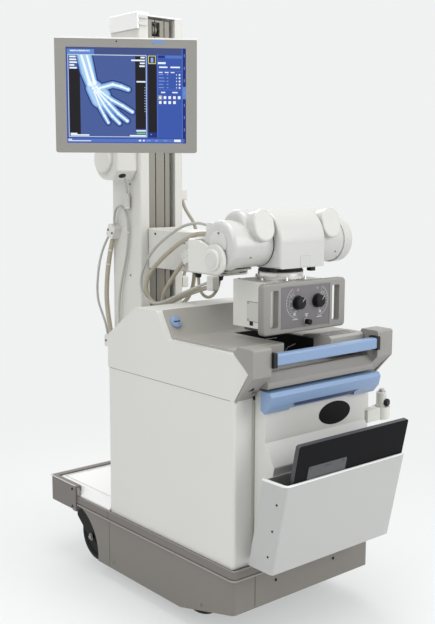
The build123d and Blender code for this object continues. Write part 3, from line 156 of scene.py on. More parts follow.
dark_steel = paint("dark_steel", (0.06, 0.06, 0.06), rough=0.5, metal=0.3, mottle=0.15, grain=0.15)
steel = brushed("steel", (0.50, 0.50, 0.49), rough=0.35)
screw_steel = brushed("screw_steel", (0.30, 0.30, 0.29), rough=0.4, axis_scale=(500, 500, 500))
rail_metal = brushed("rail_metal", (0.205, 0.195, 0.168), rough=0.42, metal=0.55,
                     axis_scale=(700, 700, 12))
cable_beige = paint("cable_beige", (0.40, 0.365, 0.285), rough=0.48, mottle=0.07, grain=0.2,
                    grain_scale=300)
cable_grey = paint("cable_grey", (0.43, 0.425, 0.395), rough=0.45, mottle=0.06, grain=0.15,
                   grain_scale=300)
clamp_plastic = paint("clamp_plastic", (0.68, 0.67, 0.63), rough=0.4, mottle=0.03, grain=0.1)
bezel_paint = paint("bezel_paint", (0.255, 0.247, 0.228), rough=0.42, mottle=0.02, grain=0.18,
                    grain_scale=900)
dial_grey = paint("dial_grey", (0.155, 0.145, 0.15), rough=0.4, mottle=0.04, grain=0.15)
print_white = paint("print_white", (0.52, 0.52, 0.53), rough=0.5, mottle=0.02, grain=0.05)
chrome = brushed("chrome", (0.62, 0.61, 0.60), rough=0.2, axis_scale=(300, 300, 300))
shell_grey = paint("shell_grey", (0.60, 0.595, 0.57), rough=0.34, mottle=0.02, grain=0.08,
                   grain_scale=600)
label_plate = paint("label_plate", (0.54, 0.54, 0.53), rough=0.35, mottle=0.03, grain=0.05)
bead_rubber = paint("bead_rubber", (0.30, 0.275, 0.25), rough=0.5, mottle=0.06, grain=0.25, scuff=0.1)
grey_edge = paint("grey_edge", (0.42, 0.405, 0.375), rough=0.45, mottle=0.04, grain=0.3)
rim_white = paint("rim_white", (0.80, 0.80, 0.79), rough=0.3, coat=0.2, mottle=0.015, grain=0.05)
bin_paint = paint("bin_paint", (0.47, 0.47, 0.46), rough=0.4, mottle=0.02, grain=0.12, grain_scale=700)
sign_black = paint("sign_black", (0.006, 0.006, 0.007), rough=0.5, mottle=0.15, grain=0.05, spec=0.12)
detector_black = paint("detector_black", (0.007, 0.007, 0.008), rough=0.6, mottle=0.2, grain=0.2,
                       spec=0.08)
knob_black = paint("knob_black", (0.006, 0.006, 0.007), rough=0.4, mottle=0.2, grain=0.1, spec=0.2)
# Beige grey of the white door's shaded side: painted shade for the strips that fill the door's side gaps
gap_shade_beige = paint("gap_shade_beige", (0.42, 0.41, 0.36), rough=0.6, mottle=0.05, grain=0.2)
# Dark blue painted shade for the underside of the door pull's recess
painted_shade_blue = paint("painted_shade_blue", (0.045, 0.065, 0.15), rough=0.5, mottle=0.05, grain=0.2)
lip_grey = paint("lip_grey", (0.50, 0.49, 0.47), rough=0.45, mottle=0.04, grain=0.2)
face_grey = paint("face_grey", (0.27, 0.258, 0.24), rough=0.45, mottle=0.03, grain=0.2)
deck_grey = paint("deck_grey", (0.38, 0.365, 0.335), rough=0.5, mottle=0.04, grain=0.45,
                  grain_scale=850, scuff=0.06)
box_paint = paint("box_paint", (0.80, 0.795, 0.74), rough=0.4, mottle=0.02, grain=0.1, grain_scale=700)
frame_metal = brushed("frame_metal", (0.085, 0.085, 0.09), rough=0.42, metal=0.6,
                      axis_scale=(60, 600, 600))
plate_metal = brushed("plate_metal", (0.12, 0.12, 0.125), rough=0.34, metal=0.8,
                      axis_scale=(60, 600, 600))
pack_paint = paint("pack_paint", (0.09, 0.09, 0.10), rough=0.6, mottle=0.15, grain=0.2)

looks = {
    white_paint: ("side_panel_left", "side_panel_right", "front_panel", "top_cover", "door_panel"),
    bin_paint: ("bin_box",),
    white_shell: ("column_cap",),
    head_shell: ("head_centre", "head_drum_left", "head_drum_right"),
    ivory_paint: ("yoke", "column_mast", "hub_drum", "monitor_link", "carriage", "arm_outer", "arm_middle",
                  "arm_inner"),
    box_paint: ("collimator_box",),
    platform_paint: ("platform",),
    grey_mould: ("cross_member", "handle_brackets"),
    deck_grey: ("top_panel", "console"),
    face_grey: ("collimator_face",),
    strip_rubber: ("bumper_strip", "front_bumper"),
    skirt_paint: ("skirt",),
    blue_mould: ("upper_handle", "door_pull"),
    black_mould: ("well_tray", "handle_fittings"),
    knob_black: ("collimator_knobs",),
    detector_black: ("detector",),
    fork_black: ("caster_fork_left", "caster_fork_right"),
    tyre_rubber: ("drive_wheel_left", "drive_wheel_right", "caster_wheel_left", "caster_wheel_right"),
    dark_steel: ("chassis_frame", "drive_unit"),
    steel: ("door_hinge", "monitor_swivel"),
    rail_metal: ("column_rail",),
    clamp_plastic: ("column_clamps", "arm_clamps", "switch_holder"),
    bezel_paint: ("monitor_case",),
    pack_paint: ("power_pack",),
}
bevel_mm = {"upper_handle": 2.6, "door_pull": 2.0, "top_cover": 2.5, "bin_box": 1.2, "side_panel_left": 1.5,
            "side_panel_right": 1.5, "monitor_case": 1.5, "arm_outer": 1.2, "column_mast": 1.2,
            "collimator_box": 2.0, "platform": 2.0, "carriage": 1.5}
no_bevel = {"collimator_knobs"}


def shade(mesh, degrees_sharp):
    """Smooth faces that stay sharp where they meet at more than an angle."""
    mesh.polygons.foreach_set("use_smooth", [True] * len(mesh.polygons))
    mesh.set_sharp_from_angle(angle=radians(degrees_sharp))


def soften(obj, width_mm):
    """Small bevel along the sharp edges."""
    bevel = obj.modifiers.new("bevel", "BEVEL")
    bevel.width = width_mm / 1000
    bevel.segments = 2
    bevel.limit_method = "ANGLE"
    bevel.angle_limit = radians(40)
    bevel.harden_normals = True


for mat, names in looks.items():
    for name in names:
        obj = nodes[name]
        obj.data.materials.clear()
        obj.data.materials.append(mat)
        shade(obj.data, 32)
        if name not in no_bevel:
            soften(obj, bevel_mm.get(name, 1.0))


def add_object(name, data, body, bevel_width=0.0):
    """Object that rides on a body."""
    obj = bpy.data.objects.new(name, data)
    scene.collection.objects.link(obj)
    if bevel_width:
        soften(obj, bevel_width)
    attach(obj, body)
    return obj


# Cords: the routes of the source, in millimetres, are the control points of NURBS splines
def new_curve(name, kind, points, radius, mat):
    """Round tube along points in millimetres."""
    curve = bpy.data.curves.new(name, "CURVE")
    curve.dimensions = "3D"
    spline = curve.splines.new(kind)
    spline.points.add(len(points) - 1)
    for point, at in zip(spline.points, points):
        point.co = (at[0] / 1000, at[1] / 1000, at[2] / 1000, 1)
    curve.bevel_depth = radius / 1000
    curve.use_fill_caps = True
    curve.materials.append(mat)
    return curve, spline


def nurbs_cord(node, diameter, points, mat, body):
    """Cord that stands for its CAD node."""
    curve, spline = new_curve(f"{node}_line", "NURBS", points, diameter / 2, mat)
    spline.order_u = 3
    spline.use_endpoint_u = True
    curve.resolution_u = 8
    curve.bevel_resolution = 4
    obj = add_object(f"{node}_line", curve, body)
    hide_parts(node)


# Routes: node, diameter, length, points
column_cords = (
    ("cable_column_thick", 18, 415, (
        (-114, 386, 1262), (-119, 398, 1212), (-124, 407, 1161), (-127, 415, 1110),
        (-128, 421, 1058), (-128, 424, 1006), (-125, 422, 954), (-122, 415, 903), (-119, 406, 852))),
    ("cable_column_thin", 9, 423, (
        (-121, 402, 1258), (-136, 417, 1216), (-146, 430, 1172), (-150, 441, 1126),
        (-149, 452, 1080), (-147, 460, 1034), (-143, 460, 987), (-134, 447, 942), (-125, 433, 898),
        (-120, 430, 852))),
    ("cable_column_pair", 9, 653, (
        (-118, 370, 1262), (-119, 378, 1287), (-119, 379, 1313), (-119, 372, 1338),
        (-118, 356, 1357), (-117, 330, 1359), (-115, 310, 1344), (-114, 300, 1320),
        (-113, 296, 1294), (-112, 296, 1268), (-112, 298, 1232), (-112, 306, 1187),
        (-113, 320, 1137), (-114, 338, 1082), (-116, 351, 1025), (-117, 356, 968),
        (-119, 353, 910), (-121, 347, 852))),
    ("cable_column_back", 13, 342, (
        (113, 262, 1392), (115, 250, 1356), (131, 239, 1323), (152, 233, 1292), (162, 230, 1255),
        (160, 231, 1217), (149, 235, 1181), (134, 243, 1147), (122, 250, 1111), (114, 254, 1074))),
    ("cable_hub", 6, 92, (
        (-150, 266, 1482), (-137, 277, 1456), (-123, 289, 1432), (-114, 298, 1404))),
)
carriage_cords = (
    ("cable_loop_thick", 15, 732, (
        (-82, -152, 1276), (-92, -110, 1280), (-103, -70, 1267), (-111, -32, 1248),
        (-118, 5, 1226), (-125, 40, 1201), (-131, 74, 1174), (-137, 106, 1145), (-143, 133, 1111),
        (-146, 144, 1069), (-139, 130, 1029), (-127, 94, 1010), (-115, 51, 1019), (-104, 11, 1040),
        (-98, -29, 1057), (-92, -70, 1072), (-87, -111, 1086), (-82, -152, 1098))),
    ("cable_loop_thin", 10, 801, (
        (-82, -152, 1302), (-93, -115, 1314), (-104, -77, 1311), (-114, -39, 1301),
        (-122, -4, 1283), (-129, 30, 1262), (-136, 63, 1240), (-142, 94, 1214), (-148, 120, 1184),
        (-153, 141, 1150), (-157, 154, 1112), (-157, 155, 1072), (-155, 137, 1036),
        (-148, 102, 1019), (-140, 63, 1023), (-133, 26, 1037), (-126, -10, 1054),
        (-118, -46, 1070), (-109, -83, 1085), (-98, -118, 1101), (-82, -152, 1116))),
    ("cable_sleeve", 15, 484, (
        (-82, -20, 1190), (-90, 6, 1159), (-95, 32, 1128), (-98, 59, 1097), (-100, 85, 1065),
        (-97, 107, 1031), (-82, 123, 997), (-46, 130, 980), (-7, 124, 990), (20, 110, 1017),
        (32, 96, 1053), (34, 86, 1093), (34, 82, 1133.7))),
    ("cable_hanging", 11, 223, (
        (-50, -42, 1133.7), (-50, -43, 1105), (-50, -49, 1077), (-50, -68, 1057), (-50, -96, 1051),
        (-50, -122, 1061), (-50, -142, 1081), (-50, -156, 1106), (-50, -160, 1133.7))),
)

grey_cords = ("cable_column_thin", "cable_column_pair", "cable_hub", "cable_loop_thin")
for body, table in (("column", column_cords), ("lift", carriage_cords)):
    for node, diameter, length, points in table:
        grey = node in grey_cords
        nurbs_cord(node, diameter, points, cable_grey if grey else cable_beige, body)


# Helpers for detail pieces. Shapes are in millimetres; add_mesh turns them into metres.
LEFT = ((0, -1, 0), (0, 0, 1))
RIGHT = ((0, 1, 0), (0, 0, 1))
REAR = ((1, 0, 0), (0, 0, 1))
FRONT = ((-1, 0, 0), (0, 0, 1))
TOP = ((1, 0, 0), (0, 1, 0))
BELOW = ((1, 0, 0), (0, -1, 0))
SIDES = ((-1, LEFT), (1, RIGHT))
SUNK = -0.3  # flat detail starts this far inside the surface that it sits on


def place(at, facing):
    """Matrix of a local frame at a point: facing gives its X and Y, and Z points out of the surface."""
    u, v = (Vector(axis).normalized() for axis in facing)
    matrix = Matrix((u, v, u.cross(v))).transposed().to_4x4()
    matrix.translation = Vector(at)
    return matrix


def along(direction):
    """Facing whose Z runs along a direction."""
    n = Vector(direction).normalized()
    side = Vector((0, 0, 1)) if abs(n.z) < 0.9 else Vector((1, 0, 0))
    u = side.cross(n).normalized()
    return (tuple(u), tuple(n.cross(u)))


def lathe(bm, at, facing, profile, sides=28, slot=0):
    """Turned shape: (radius, height) pairs about the local Z."""
    matrix = place(at, facing)
    rings = []
    for radius, height in profile:
        circle = oval(radius, radius, sides=sides) if radius else [(0, 0)]
        rings.append([bm.verts.new(matrix @ Vector((x, y, height))) for x, y in circle])
    for one, two in zip(rings, rings[1:]):
        for k in range(sides):
            near, far = k, (k + 1) % sides
            corners = [one[near % len(one)], one[far % len(one)], two[far % len(two)], two[near % len(two)]]
            corners = list(dict.fromkeys(corners))
            if len(corners) > 2:
                bm.faces.new(corners).material_index = slot


def prism(bm, at, facing, outline, low, high, slot=0):
    """Outline in the local XY, carried from low to high along the local Z."""
    matrix = place(at, facing)
    base = [bm.verts.new(matrix @ Vector((x, y, low))) for x, y in outline]
    top = [bm.verts.new(matrix @ Vector((x, y, high))) for x, y in outline]
    faces = [bm.faces.new(base[::-1]), bm.faces.new(top)]
    for k in range(len(outline)):
        after = (k + 1) % len(outline)
        faces.append(bm.faces.new((base[k], base[after], top[after], top[k])))
    for face in faces:
        face.material_index = slot


def arc(cx, cy, radius, start, end, steps):
    """Points along an arc between two angles in degrees."""
    angles = [radians(start + (end - start) * k / steps) for k in range(steps + 1)]
    return [(cx + radius * cos(angle), cy + radius * sin(angle)) for angle in angles]


def rounded(width, height, radius, cx=0.0, cy=0.0, steps=4):
    """Rectangle with round corners."""
    points = []
    for sx, sy, start in ((1, 1, 0), (-1, 1, 90), (-1, -1, 180), (1, -1, 270)):
        points += arc(cx + sx * (width / 2 - radius), cy + sy * (height / 2 - radius), radius,
                      start, start + 90, steps)
    return points


def oval(half_w, half_h, cx=0.0, cy=0.0, sides=40):
    """Ellipse."""
    angles = [2 * pi * k / sides for k in range(sides)]
    return [(cx + half_w * cos(angle), cy + half_h * sin(angle)) for angle in angles]


def bar(start, end, width):
    """Thin quad from start to end in the local XY."""
    run = Vector(end) - Vector(start)
    off = Vector((-run.y, run.x)).normalized() * width / 2
    a, b = Vector(start), Vector(end)
    return [tuple(a - off), tuple(b - off), tuple(b + off), tuple(a + off)]


def arc_band(cx, cy, radius, width, start, end, steps=28):
    """Thin band along an arc."""
    inner = arc(cx, cy, radius - width / 2, start, end, steps)
    return arc(cx, cy, radius + width / 2, start, end, steps) + inner[::-1]


def screw(bm, at, facing, r):
    """Cap screw with a socket."""
    lathe(bm, at, facing, ((r, -0.4), (r, 0.4 * r), (0.86 * r, 0.58 * r), (0.5 * r, 0.62 * r),
                           (0.46 * r, 0.24 * r), (0, 0.24 * r)), 20)


def add_mesh(name, bm, mats, body, bevel=0.0):
    """Finished piece from its mesh: in metres, shaded, riding on its body."""
    bmesh.ops.recalc_face_normals(bm, faces=bm.faces[:])
    bmesh.ops.scale(bm, vec=(0.001, 0.001, 0.001), verts=bm.verts[:])
    mesh = bpy.data.meshes.new(name)
    bm.to_mesh(mesh)
    bm.free()
    for mat in mats if isinstance(mats, (list, tuple)) else (mats,):
        mesh.materials.append(mat)
    shade(mesh, 35)
    add_object(name, mesh, body, bevel)


def bead(name, points, radius, mat, body, closed=False):
    """Round bead or wire through points."""
    curve, spline = new_curve(name, "POLY", points, radius, mat)
    spline.use_cyclic_u = closed
    spline.use_smooth = True
    curve.bevel_resolution = 3
    add_object(name, curve, body)


# Screen: flat lit blocks just in front of the CAD glass, laid out as a viewer's window
screen_at = (-388, -98, 1723)
screen_facing = ((0.82314, -0.56784, 0), (0, 0, 1))
screen_w, screen_h = 376, 295
lit = {
    "field": (58, 85, 165), "top": (64, 78, 128), "tab": (92, 130, 200), "edge": (196, 208, 214),
    "shade": (30, 48, 120), "picture": (70, 90, 148), "black": (30, 28, 32), "text": (228, 238, 250),
    "dim": (120, 150, 215), "line": (84, 112, 190), "mark": (200, 190, 130), "green": (110, 190, 120),
    "halo": (38, 50, 112), "soft1": (96, 132, 190), "soft2": (132, 172, 218), "soft3": (164, 200, 234),
    "bone1": (206, 226, 244), "bone2": (240, 248, 253),
}
lit_names = list(lit)
lit_mats = [glow(f"screen_{name}", [((c / 255 + 0.055) / 1.055) ** 2.4 for c in lit[name]])
            for name in lit_names]
# Blocks: tone, level, then left, top, right and bottom in fractions of the screen
blocks = [
    ("field", 1, 0, 0, 1, 1), ("top", 2, 0, 0, 0.965, 0.07), ("tab", 3, 0.01, 0.02, 0.235, 0.075),
    ("edge", 2, 0.015, 0.075, 0.67, 0.937), ("picture", 3, 0.02, 0.083, 0.665, 0.93),
    ("black", 4, 0.025, 0.225, 0.115, 0.925), ("black", 4, 0.575, 0.088, 0.66, 0.85),
    ("shade", 2, 0.68, 0.075, 0.757, 0.94), ("black", 3, 0.682, 0.17, 0.752, 0.885),
    ("mark", 3, 0.683, 0.078, 0.748, 0.165), ("black", 4, 0.69, 0.087, 0.741, 0.156),
    ("soft2", 5, 0.705, 0.1, 0.727, 0.15), ("line", 3, 0.757, 0.06, 0.763, 0.94),
    ("line", 2, 0.763, 0.075, 0.965, 0.105), ("shade", 3, 0.765, 0.077, 0.825, 0.103),
    ("line", 3, 0.765, 0.235, 0.96, 0.24), ("line", 3, 0.765, 0.432, 0.96, 0.437),
    ("shade", 2, 0.972, 0, 1, 1), ("tab", 3, 0.973, 0.4, 1, 0.53), ("line", 3, 0.967, 0, 0.973, 1),
    ("shade", 2, 0, 0.948, 1, 0.953), ("line", 2, 0, 0.953, 0.99, 0.99),
]
for row, wide in enumerate((0.085, 0.105, 0.095, 0.04, 0.06)):
    blocks.append(("text", 5, 0.03, 0.092 + 0.029 * row, 0.03 + wide, 0.108 + 0.029 * row))
for row, (right, wide) in enumerate(((0.655, 0.035), (0.657, 0.115), (0.655, 0.04), (0.655, 0.045))):
    blocks.append(("text", 5, right - wide, 0.092 + 0.03 * row, right, 0.108 + 0.03 * row))
for row, (wide, tone) in enumerate(((0.08, "text"), (0.075, "green"), (0.135, "text"))):
    blocks.append((tone, 5, 0.66 - wide, 0.862 + 0.026 * row, 0.66, 0.876 + 0.026 * row))
for tone, level, places in (
        ("text", 5, ((0.585, 0.345, 0.66, 0.36), (0.03, 0.895, 0.085, 0.909), (0.03, 0.91, 0.185, 0.924))),
        ("text", 3, ((0.035, 0.03, 0.2, 0.045), (0.01, 0.958, 0.04, 0.968), (0.01, 0.974, 0.2, 0.982),
                     (0.9, 0.96, 0.955, 0.985), (0.6, 0.965, 0.62, 0.98), (0.635, 0.965, 0.65, 0.98))),
        ("text", 4, ((0.765, 0.145, 0.83, 0.165), (0.775, 0.19, 0.845, 0.205), (0.87, 0.19, 0.95, 0.205),
                     (0.79, 0.455, 0.825, 0.468), (0.885, 0.455, 0.93, 0.468))),
        ("dim", 3, ((0.665, 0.968, 0.7, 0.978), (0.74, 0.965, 0.76, 0.98), (0.81, 0.968, 0.84, 0.978),
                    (0.7, 0.9, 0.71, 0.912)))):
    blocks += [(tone, level, *corners) for corners in places]
for row in range(5):
    y = 0.27 + 0.034 * row
    blocks += [("dim", 4, 0.77, y, 0.81 + 0.006 * (row % 3), y + 0.009),
               ("dim", 4, 0.838, y, 0.852, y + 0.01),
               ("text", 4, 0.918, y, 0.924, y + 0.012), ("text", 4, 0.94, y - 0.003, 0.953, y + 0.014)]
for column in range(3):
    blocks.append(("text", 4, 0.772 + 0.05 * column, 0.247, 0.804 + 0.05 * column, 0.257))
for row in range(10):
    blocks.append(("text", 5, 0.652, 0.41 + 0.028 * row, 0.658, 0.416 + 0.028 * row))
for column in range(5):
    for row in range(2):
        if column + 4 * row < 8:
            x, y = 0.772 + 0.04 * column, 0.5 + 0.052 * row
            blocks.append(("text", 4, x, y, x + 0.022, y + 0.03))
blocks += [("mark", 3, 0.766, 0.494, 0.799, 0.537), ("shade", 4, 0.769, 0.498, 0.796, 0.533),
           ("text", 5, 0.78, 0.503, 0.785, 0.528)]
for row in range(7):
    blocks.append(("dim", 4, 0.984, 0.06 + 0.13 * row, 0.989, 0.09 + 0.13 * row))

# A generic hand for the x-ray picture: joints in fractions of the screen, widths in millimetres
fingers = (
    ((0.262, 0.43), (0.385, 0.385), (0.455, 0.405), (0.515, 0.435), 9.5),
    ((0.275, 0.45), (0.375, 0.545), (0.465, 0.605), (0.548, 0.67), 8.5),
    ((0.262, 0.46), (0.352, 0.585), (0.43, 0.69), (0.505, 0.765), 8.8),
    ((0.248, 0.465), (0.318, 0.61), (0.38, 0.715), (0.438, 0.79), 8.4),
    ((0.232, 0.465), (0.278, 0.625), (0.315, 0.715), (0.346, 0.785), 7.4),
)
soft_shapes = [((0.152, 0.06), (0.178, 0.25), 24, 23), ((0.178, 0.25), (0.214, 0.4), 23, 18),
               ((0.225, 0.42), (0.275, 0.54), 24, 27), ((0.24, 0.41), (0.31, 0.5), 20, 22)]
bone_shapes = [((0.128, 0.06), (0.197, 0.38), 5.4, 7.0), ((0.174, 0.06), (0.234, 0.365), 4.8, 6.4)]
for joints in fingers:
    width = joints[-1]
    for count, (start, end) in enumerate(zip(joints, joints[1:-1])):
        soft_shapes.append((start, end, width * (1.15 - 0.1 * count), width * (1.05 - 0.1 * count)))
        bone_shapes.append((start, end, width * 0.45, width * 0.4))
carpals = ((0.214, 0.395, 6), (0.236, 0.385, 5.5), (0.225, 0.425, 6), (0.25, 0.415, 6), (0.238, 0.448, 5),
           (0.262, 0.44, 4.6))


def on_screen(x, y):
    """Millimetres from the middle of the screen, from fractions of its width and height."""
    return ((x - 0.5) * screen_w, (0.5 - y) * screen_h)


def capsule(start, end, r_start, r_end, steps=9):
    """Outline of a tapered capsule."""
    a, b = on_screen(*start), on_screen(*end)
    heading = degrees(atan2(b[1] - a[1], b[0] - a[0]))
    return (arc(*b, r_end, heading - 90, heading + 90, steps)
            + arc(*a, r_start, heading + 90, heading + 270, steps))


def on_monitor(u, v, w=0.0):
    """Point of the monitor: across, up and out of its front."""
    return place(screen_at, screen_facing) @ Vector((u, v, w))


GLASS = -1.66  # the glass lies this far behind the front of the case
LEVEL = 0.05  # step between two layers of the picture


def layer(bm, outline, level, tone):
    """Flat lit face, a little further out for each level."""
    face = bm.faces.new([bm.verts.new(on_monitor(x, y, GLASS + LEVEL * level)) for x, y in outline])
    face.material_index = lit_names.index(tone)


bm = bmesh.new()
for tone, level, x0, y0, x1, y1 in blocks:
    (left, high), (right, low) = on_screen(x0, y0), on_screen(x1, y1)
    layer(bm, [(left, low), (right, low), (right, high), (left, high)], level, tone)
window_left, window_high = on_screen(0.02, 0.083)
for tone, level, spread in (("halo", 5, 4.0), ("soft1", 6, 0.6), ("soft2", 7, -1.6), ("soft3", 8, -5.2)):
    for start, end, r_start, r_end in soft_shapes:
        outline = capsule(start, end, max(1.2, r_start + spread), max(1.0, r_end + spread))
        outline = [(max(x, window_left), min(y, window_high)) for x, y in outline]
        layer(bm, outline, level, tone)
for tone, level, share in (("bone1", 9, 1.0), ("bone2", 10, 0.55)):
    for start, end, r_start, r_end in bone_shapes:
        shaft = capsule(start, end, r_start * share * 0.8, r_end * share * 0.8)
        layer(bm, [(x, min(y, window_high)) for x, y in shaft], level, tone)
        for joint, radius in ((start, r_start * 1.25), (end, r_end * 1.25)):
            if joint[1] > 0.1:
                layer(bm, oval(radius * share, radius * share, *on_screen(*joint), 16), level, tone)
    for x, y, radius in carpals:
        layer(bm, oval(radius * share, radius * share, *on_screen(x, y), 14), level, tone)
add_mesh("screen_window", bm, lit_mats, "monitor")

bm = bmesh.new()
for u, radius, slot in ((86, 3.6, 0), (100, 3.6, 0), (114, 3.6, 0), (-30, 1.6, 1)):
    lathe(bm, on_monitor(u, 166), screen_facing,
          ((radius + 1, -0.3), (radius + 1, 0.5), (radius, 0.9), (radius * 0.7, 1.0), (0, 1.0)), 20, slot)
lamp_blue = glow("lamp_blue", (0.12, 0.36, 0.95), 0.9)
add_mesh("monitor_lamps", bm, (lamp_blue, black_mould), "monitor")
# White cap and thin white line along the top of the monitor case: painted highlight where light from above
# falls on its edge
bm = bmesh.new()
across = screen_facing[0]
case_top = (across, (-across[1], across[0], 0))
prism(bm, on_monitor(0, 177.5, -17), case_top, rounded(442, 30, 3), -0.2, 1.2)
prism(bm, on_monitor(0, 175.4), screen_facing, rounded(443, 3.4, 1.2), SUNK, 0.6)
add_mesh("monitor_top_painted_highlight", bm, white_shell, "monitor", bevel=0.5)
bm = bmesh.new()
case_back = ((-across[0], -across[1], 0), (0, 0, 1))
CASE_DEPTH = 62
for row in range(9):
    for side in (-1, 1):
        slit = on_monitor(side * 78, 70 - 8 * row, -CASE_DEPTH)
        prism(bm, slit, case_back, rounded(96, 3.4, 1.6), SUNK, 0.25)
for u in (-150, 150):
    for v in (-112, 112):
        screw(bm, on_monitor(u, v, -CASE_DEPTH), case_back, 4.2)
prism(bm, on_monitor(0, -100, -CASE_DEPTH), case_back, rounded(120, 44, 4), SUNK, 0.8)
add_mesh("monitor_vents", bm, black_mould, "monitor")

# Collimator: dark panel with two dials, caps of the knobs, covers with a painted shadow line round them,
# rails, turning flange and screws
TUBE_Y, TUBE_Z = -406, 1262  # axis of the tube; the collimator turns about the vertical through it
BOX_TOP = 1141
BOX_X = 120
DIAL_XS = (-36, 52)
DIAL_Z = 1078.5
NUMBER_HEIGHT = 0.0085  # in metres
bm = bmesh.new()
dial_at = (0, -522, 1064.5)
prism(bm, dial_at, REAR, rounded(216, 131, 3), -0.2, 0.9)
add_mesh("dial_panel", bm, dial_grey, "collimator", bevel=0.4)
bm = bmesh.new()
marks = []
for knob_x, first, last in zip(DIAL_XS, (118, -82), (262, 62)):
    for radius, width in ((50, 1.1), (37, 0.7)):
        marks.append(arc_band(knob_x, 14, radius, width, first, last))
    ticks = zip(arc(knob_x, 14, 49.4, first, last, 12), arc(knob_x, 14, 44, first, last, 12),
                arc(knob_x, 14, 41.5, first, last, 12))
    for step, (outer, near, far) in enumerate(ticks):
        marks.append(bar(outer, near if step % 3 else far, 0.7))
    away = -1 if knob_x < 0 else 1
    marks.append(bar((knob_x + away * 20, 26), (knob_x + away * 33, 41), 1.3))
    marks += [bar((knob_x - 4, 54), (knob_x + 5, 54), 1.4), bar((knob_x + 0.5, 50), (knob_x + 0.5, 60), 1.4)]
    marks.append(rounded(24, 3, 1.2, knob_x + away * 10, -39))
    marks.append(rounded(9, 9, 1, knob_x + away * 14, -22, 2))
marks += [rounded(7, 7, 1, 4, -31, 2), rounded(16, 2.4, 1, 4, -25.5)]
for outline in marks:
    prism(bm, dial_at, REAR, outline, 0.8, 1.15)
add_mesh("dial_marks", bm, print_white, "collimator")
for knob_x, first, last in zip(DIAL_XS, (128, -72), (252, 52)):
    for label, (x, z) in zip(("10", "20", "30", "40"), arc(knob_x, DIAL_Z, 30.5, first, last, 3)):
        text = bpy.data.curves.new(f"dial_number_{label}", "FONT")
        text.body = label
        text.size = NUMBER_HEIGHT
        text.align_x = "CENTER"
        text.align_y = "CENTER"
        text.extrude = 0.00015
        text.resolution_u = 3
        text.materials.append(print_white)
        obj = bpy.data.objects.new(f"dial_number_{'left' if knob_x < 0 else 'right'}_{label}", text)
        obj.location = (x / 1000, -0.5231, z / 1000)
        obj.rotation_euler = (pi / 2, 0, 0)
        scene.collection.objects.link(obj)
        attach(obj, "collimator")
bm = bmesh.new()
for knob_x in DIAL_XS:
    lathe(bm, (knob_x, -542.3, DIAL_Z), REAR, ((15, -0.2), (15, 0.7), (13.5, 1.0), (0, 1.0)), 32)
    prism(bm, (knob_x, -542.3, DIAL_Z), REAR, bar((3, 4), (11.5, 15), 1.6), 0.9, 1.3, 1)
    lathe(bm, (knob_x, -522.8, DIAL_Z), REAR, ((23, -0.2), (23, 1.2), (21.5, 2.2), (19, 2.2)), 36)
lathe(bm, (4, -523.0, 1014.5), REAR, ((11.5, -0.2), (11.5, 1.0), (10.8, 1.6), (10, 1.6)), 32, 2)
add_mesh("knob_caps", bm, (knob_black, print_white, chrome), "collimator")
bm = bmesh.new()
for side, facing in SIDES:
    prism(bm, (side * BOX_X, -410, 1043), facing, rounded(64, 62, 3), SUNK, 1.6)
add_mesh("collimator_covers", bm, ivory_paint, "collimator", bevel=0.5)
bm = bmesh.new()
prism(bm, (-BOX_X, -399, 1005), LEFT, rounded(15, 14, 1), SUNK, 1.8)
for side, facing in SIDES:
    # Dark outline round each side cover: its seam, widened into a painted shadow line round the raised cover
    prism(bm, (side * BOX_X, -410, 1043), facing, rounded(67, 65, 4), SUNK, 0.2)
    prism(bm, (side * 72, TUBE_Y, 977), BELOW, rounded(34, 152, 2), -0.4, 2.4)
    prism(bm, (side * 88, TUBE_Y, 984), facing, rounded(152, 10, 1), -0.5, 1.2)
prism(bm, (0, TUBE_Y, 990), BELOW, rounded(84, 84, 3), SUNK, 1.5)
add_mesh("collimator_dark_parts", bm, black_mould, "collimator", bevel=0.4)
bm = bmesh.new()
lathe(bm, (0, TUBE_Y, BOX_TOP), TOP, ((74.6, 0), (74.6, 6), (71, 8), (71, 12), (74.6, 14), (74.6, 24),
                                      (73, 25.6), (66, 25.6)), 64)
for x, y in arc(0, TUBE_Y, 82, -120, 180, 5):
    lathe(bm, (x, y, BOX_TOP), TOP,
          ((4.4, -0.5), (4.4, 8), (3.4, 9.5), (3.4, 13), (2.6, 14.2), (0, 14.2)), 20)
add_mesh("swivel_flange", bm, chrome, "collimator")
bm = bmesh.new()
for x, y in ((-104, -320), (104, -320), (-104, -486), (104, -486)):
    screw(bm, (x, y, BOX_TOP), TOP, 4.5)
for side, facing in SIDES:
    for y, z in ((-436, 1069), (-384, 1069), (-436, 1017), (-384, 1017)):
        screw(bm, (side * 121.6, y, z), facing, 2.4)
add_mesh("collimator_screws", bm, screw_steel, "collimator")

# Tube head and yoke: black port ring, end plates, horn faces, screws and a blank label
bm = bmesh.new()
lathe(bm, (0, TUBE_Y, 1168), TOP, ((66, 0.6), (73.5, 1.2), (73.5, 6), (70, 7), (70, 12), (77, 13), (77, 18.2),
                                   (60, 18.2)), 64)
prism(bm, (84, -462, 1174), TOP, rounded(22, 20, 2), -6, 12.1)
prism(bm, (-84, -462, 1176), TOP, rounded(18, 16, 2), -4, 10.1)
for side in (-1, 1):
    lathe(bm, (side * 101.6, TUBE_Y, TUBE_Z), RIGHT, ((72, -1.2), (74, -1.2), (74, 1.2), (72, 1.2)), 72)
add_mesh("head_dark_parts", bm, black_mould, "head")
bm = bmesh.new()
horn_face = ((1, 0, 0), (0, sin(radians(12)), cos(radians(12))))
stadium = arc(0, 8, 36, 0, 180, 20) + arc(0, -8, 36, 180, 360, 20)
for side, facing in SIDES:
    lathe(bm, (side * 269.5, TUBE_Y, 1268), facing, ((39, -0.2), (39, 0.5), (38, 0.9), (0, 0.9)), 56)
    prism(bm, (side * 150, -489, 1324), horn_face, stadium, SUNK, 0.5)
add_mesh("head_plates", bm, shell_grey, "head", bevel=0.3)
bm = bmesh.new()
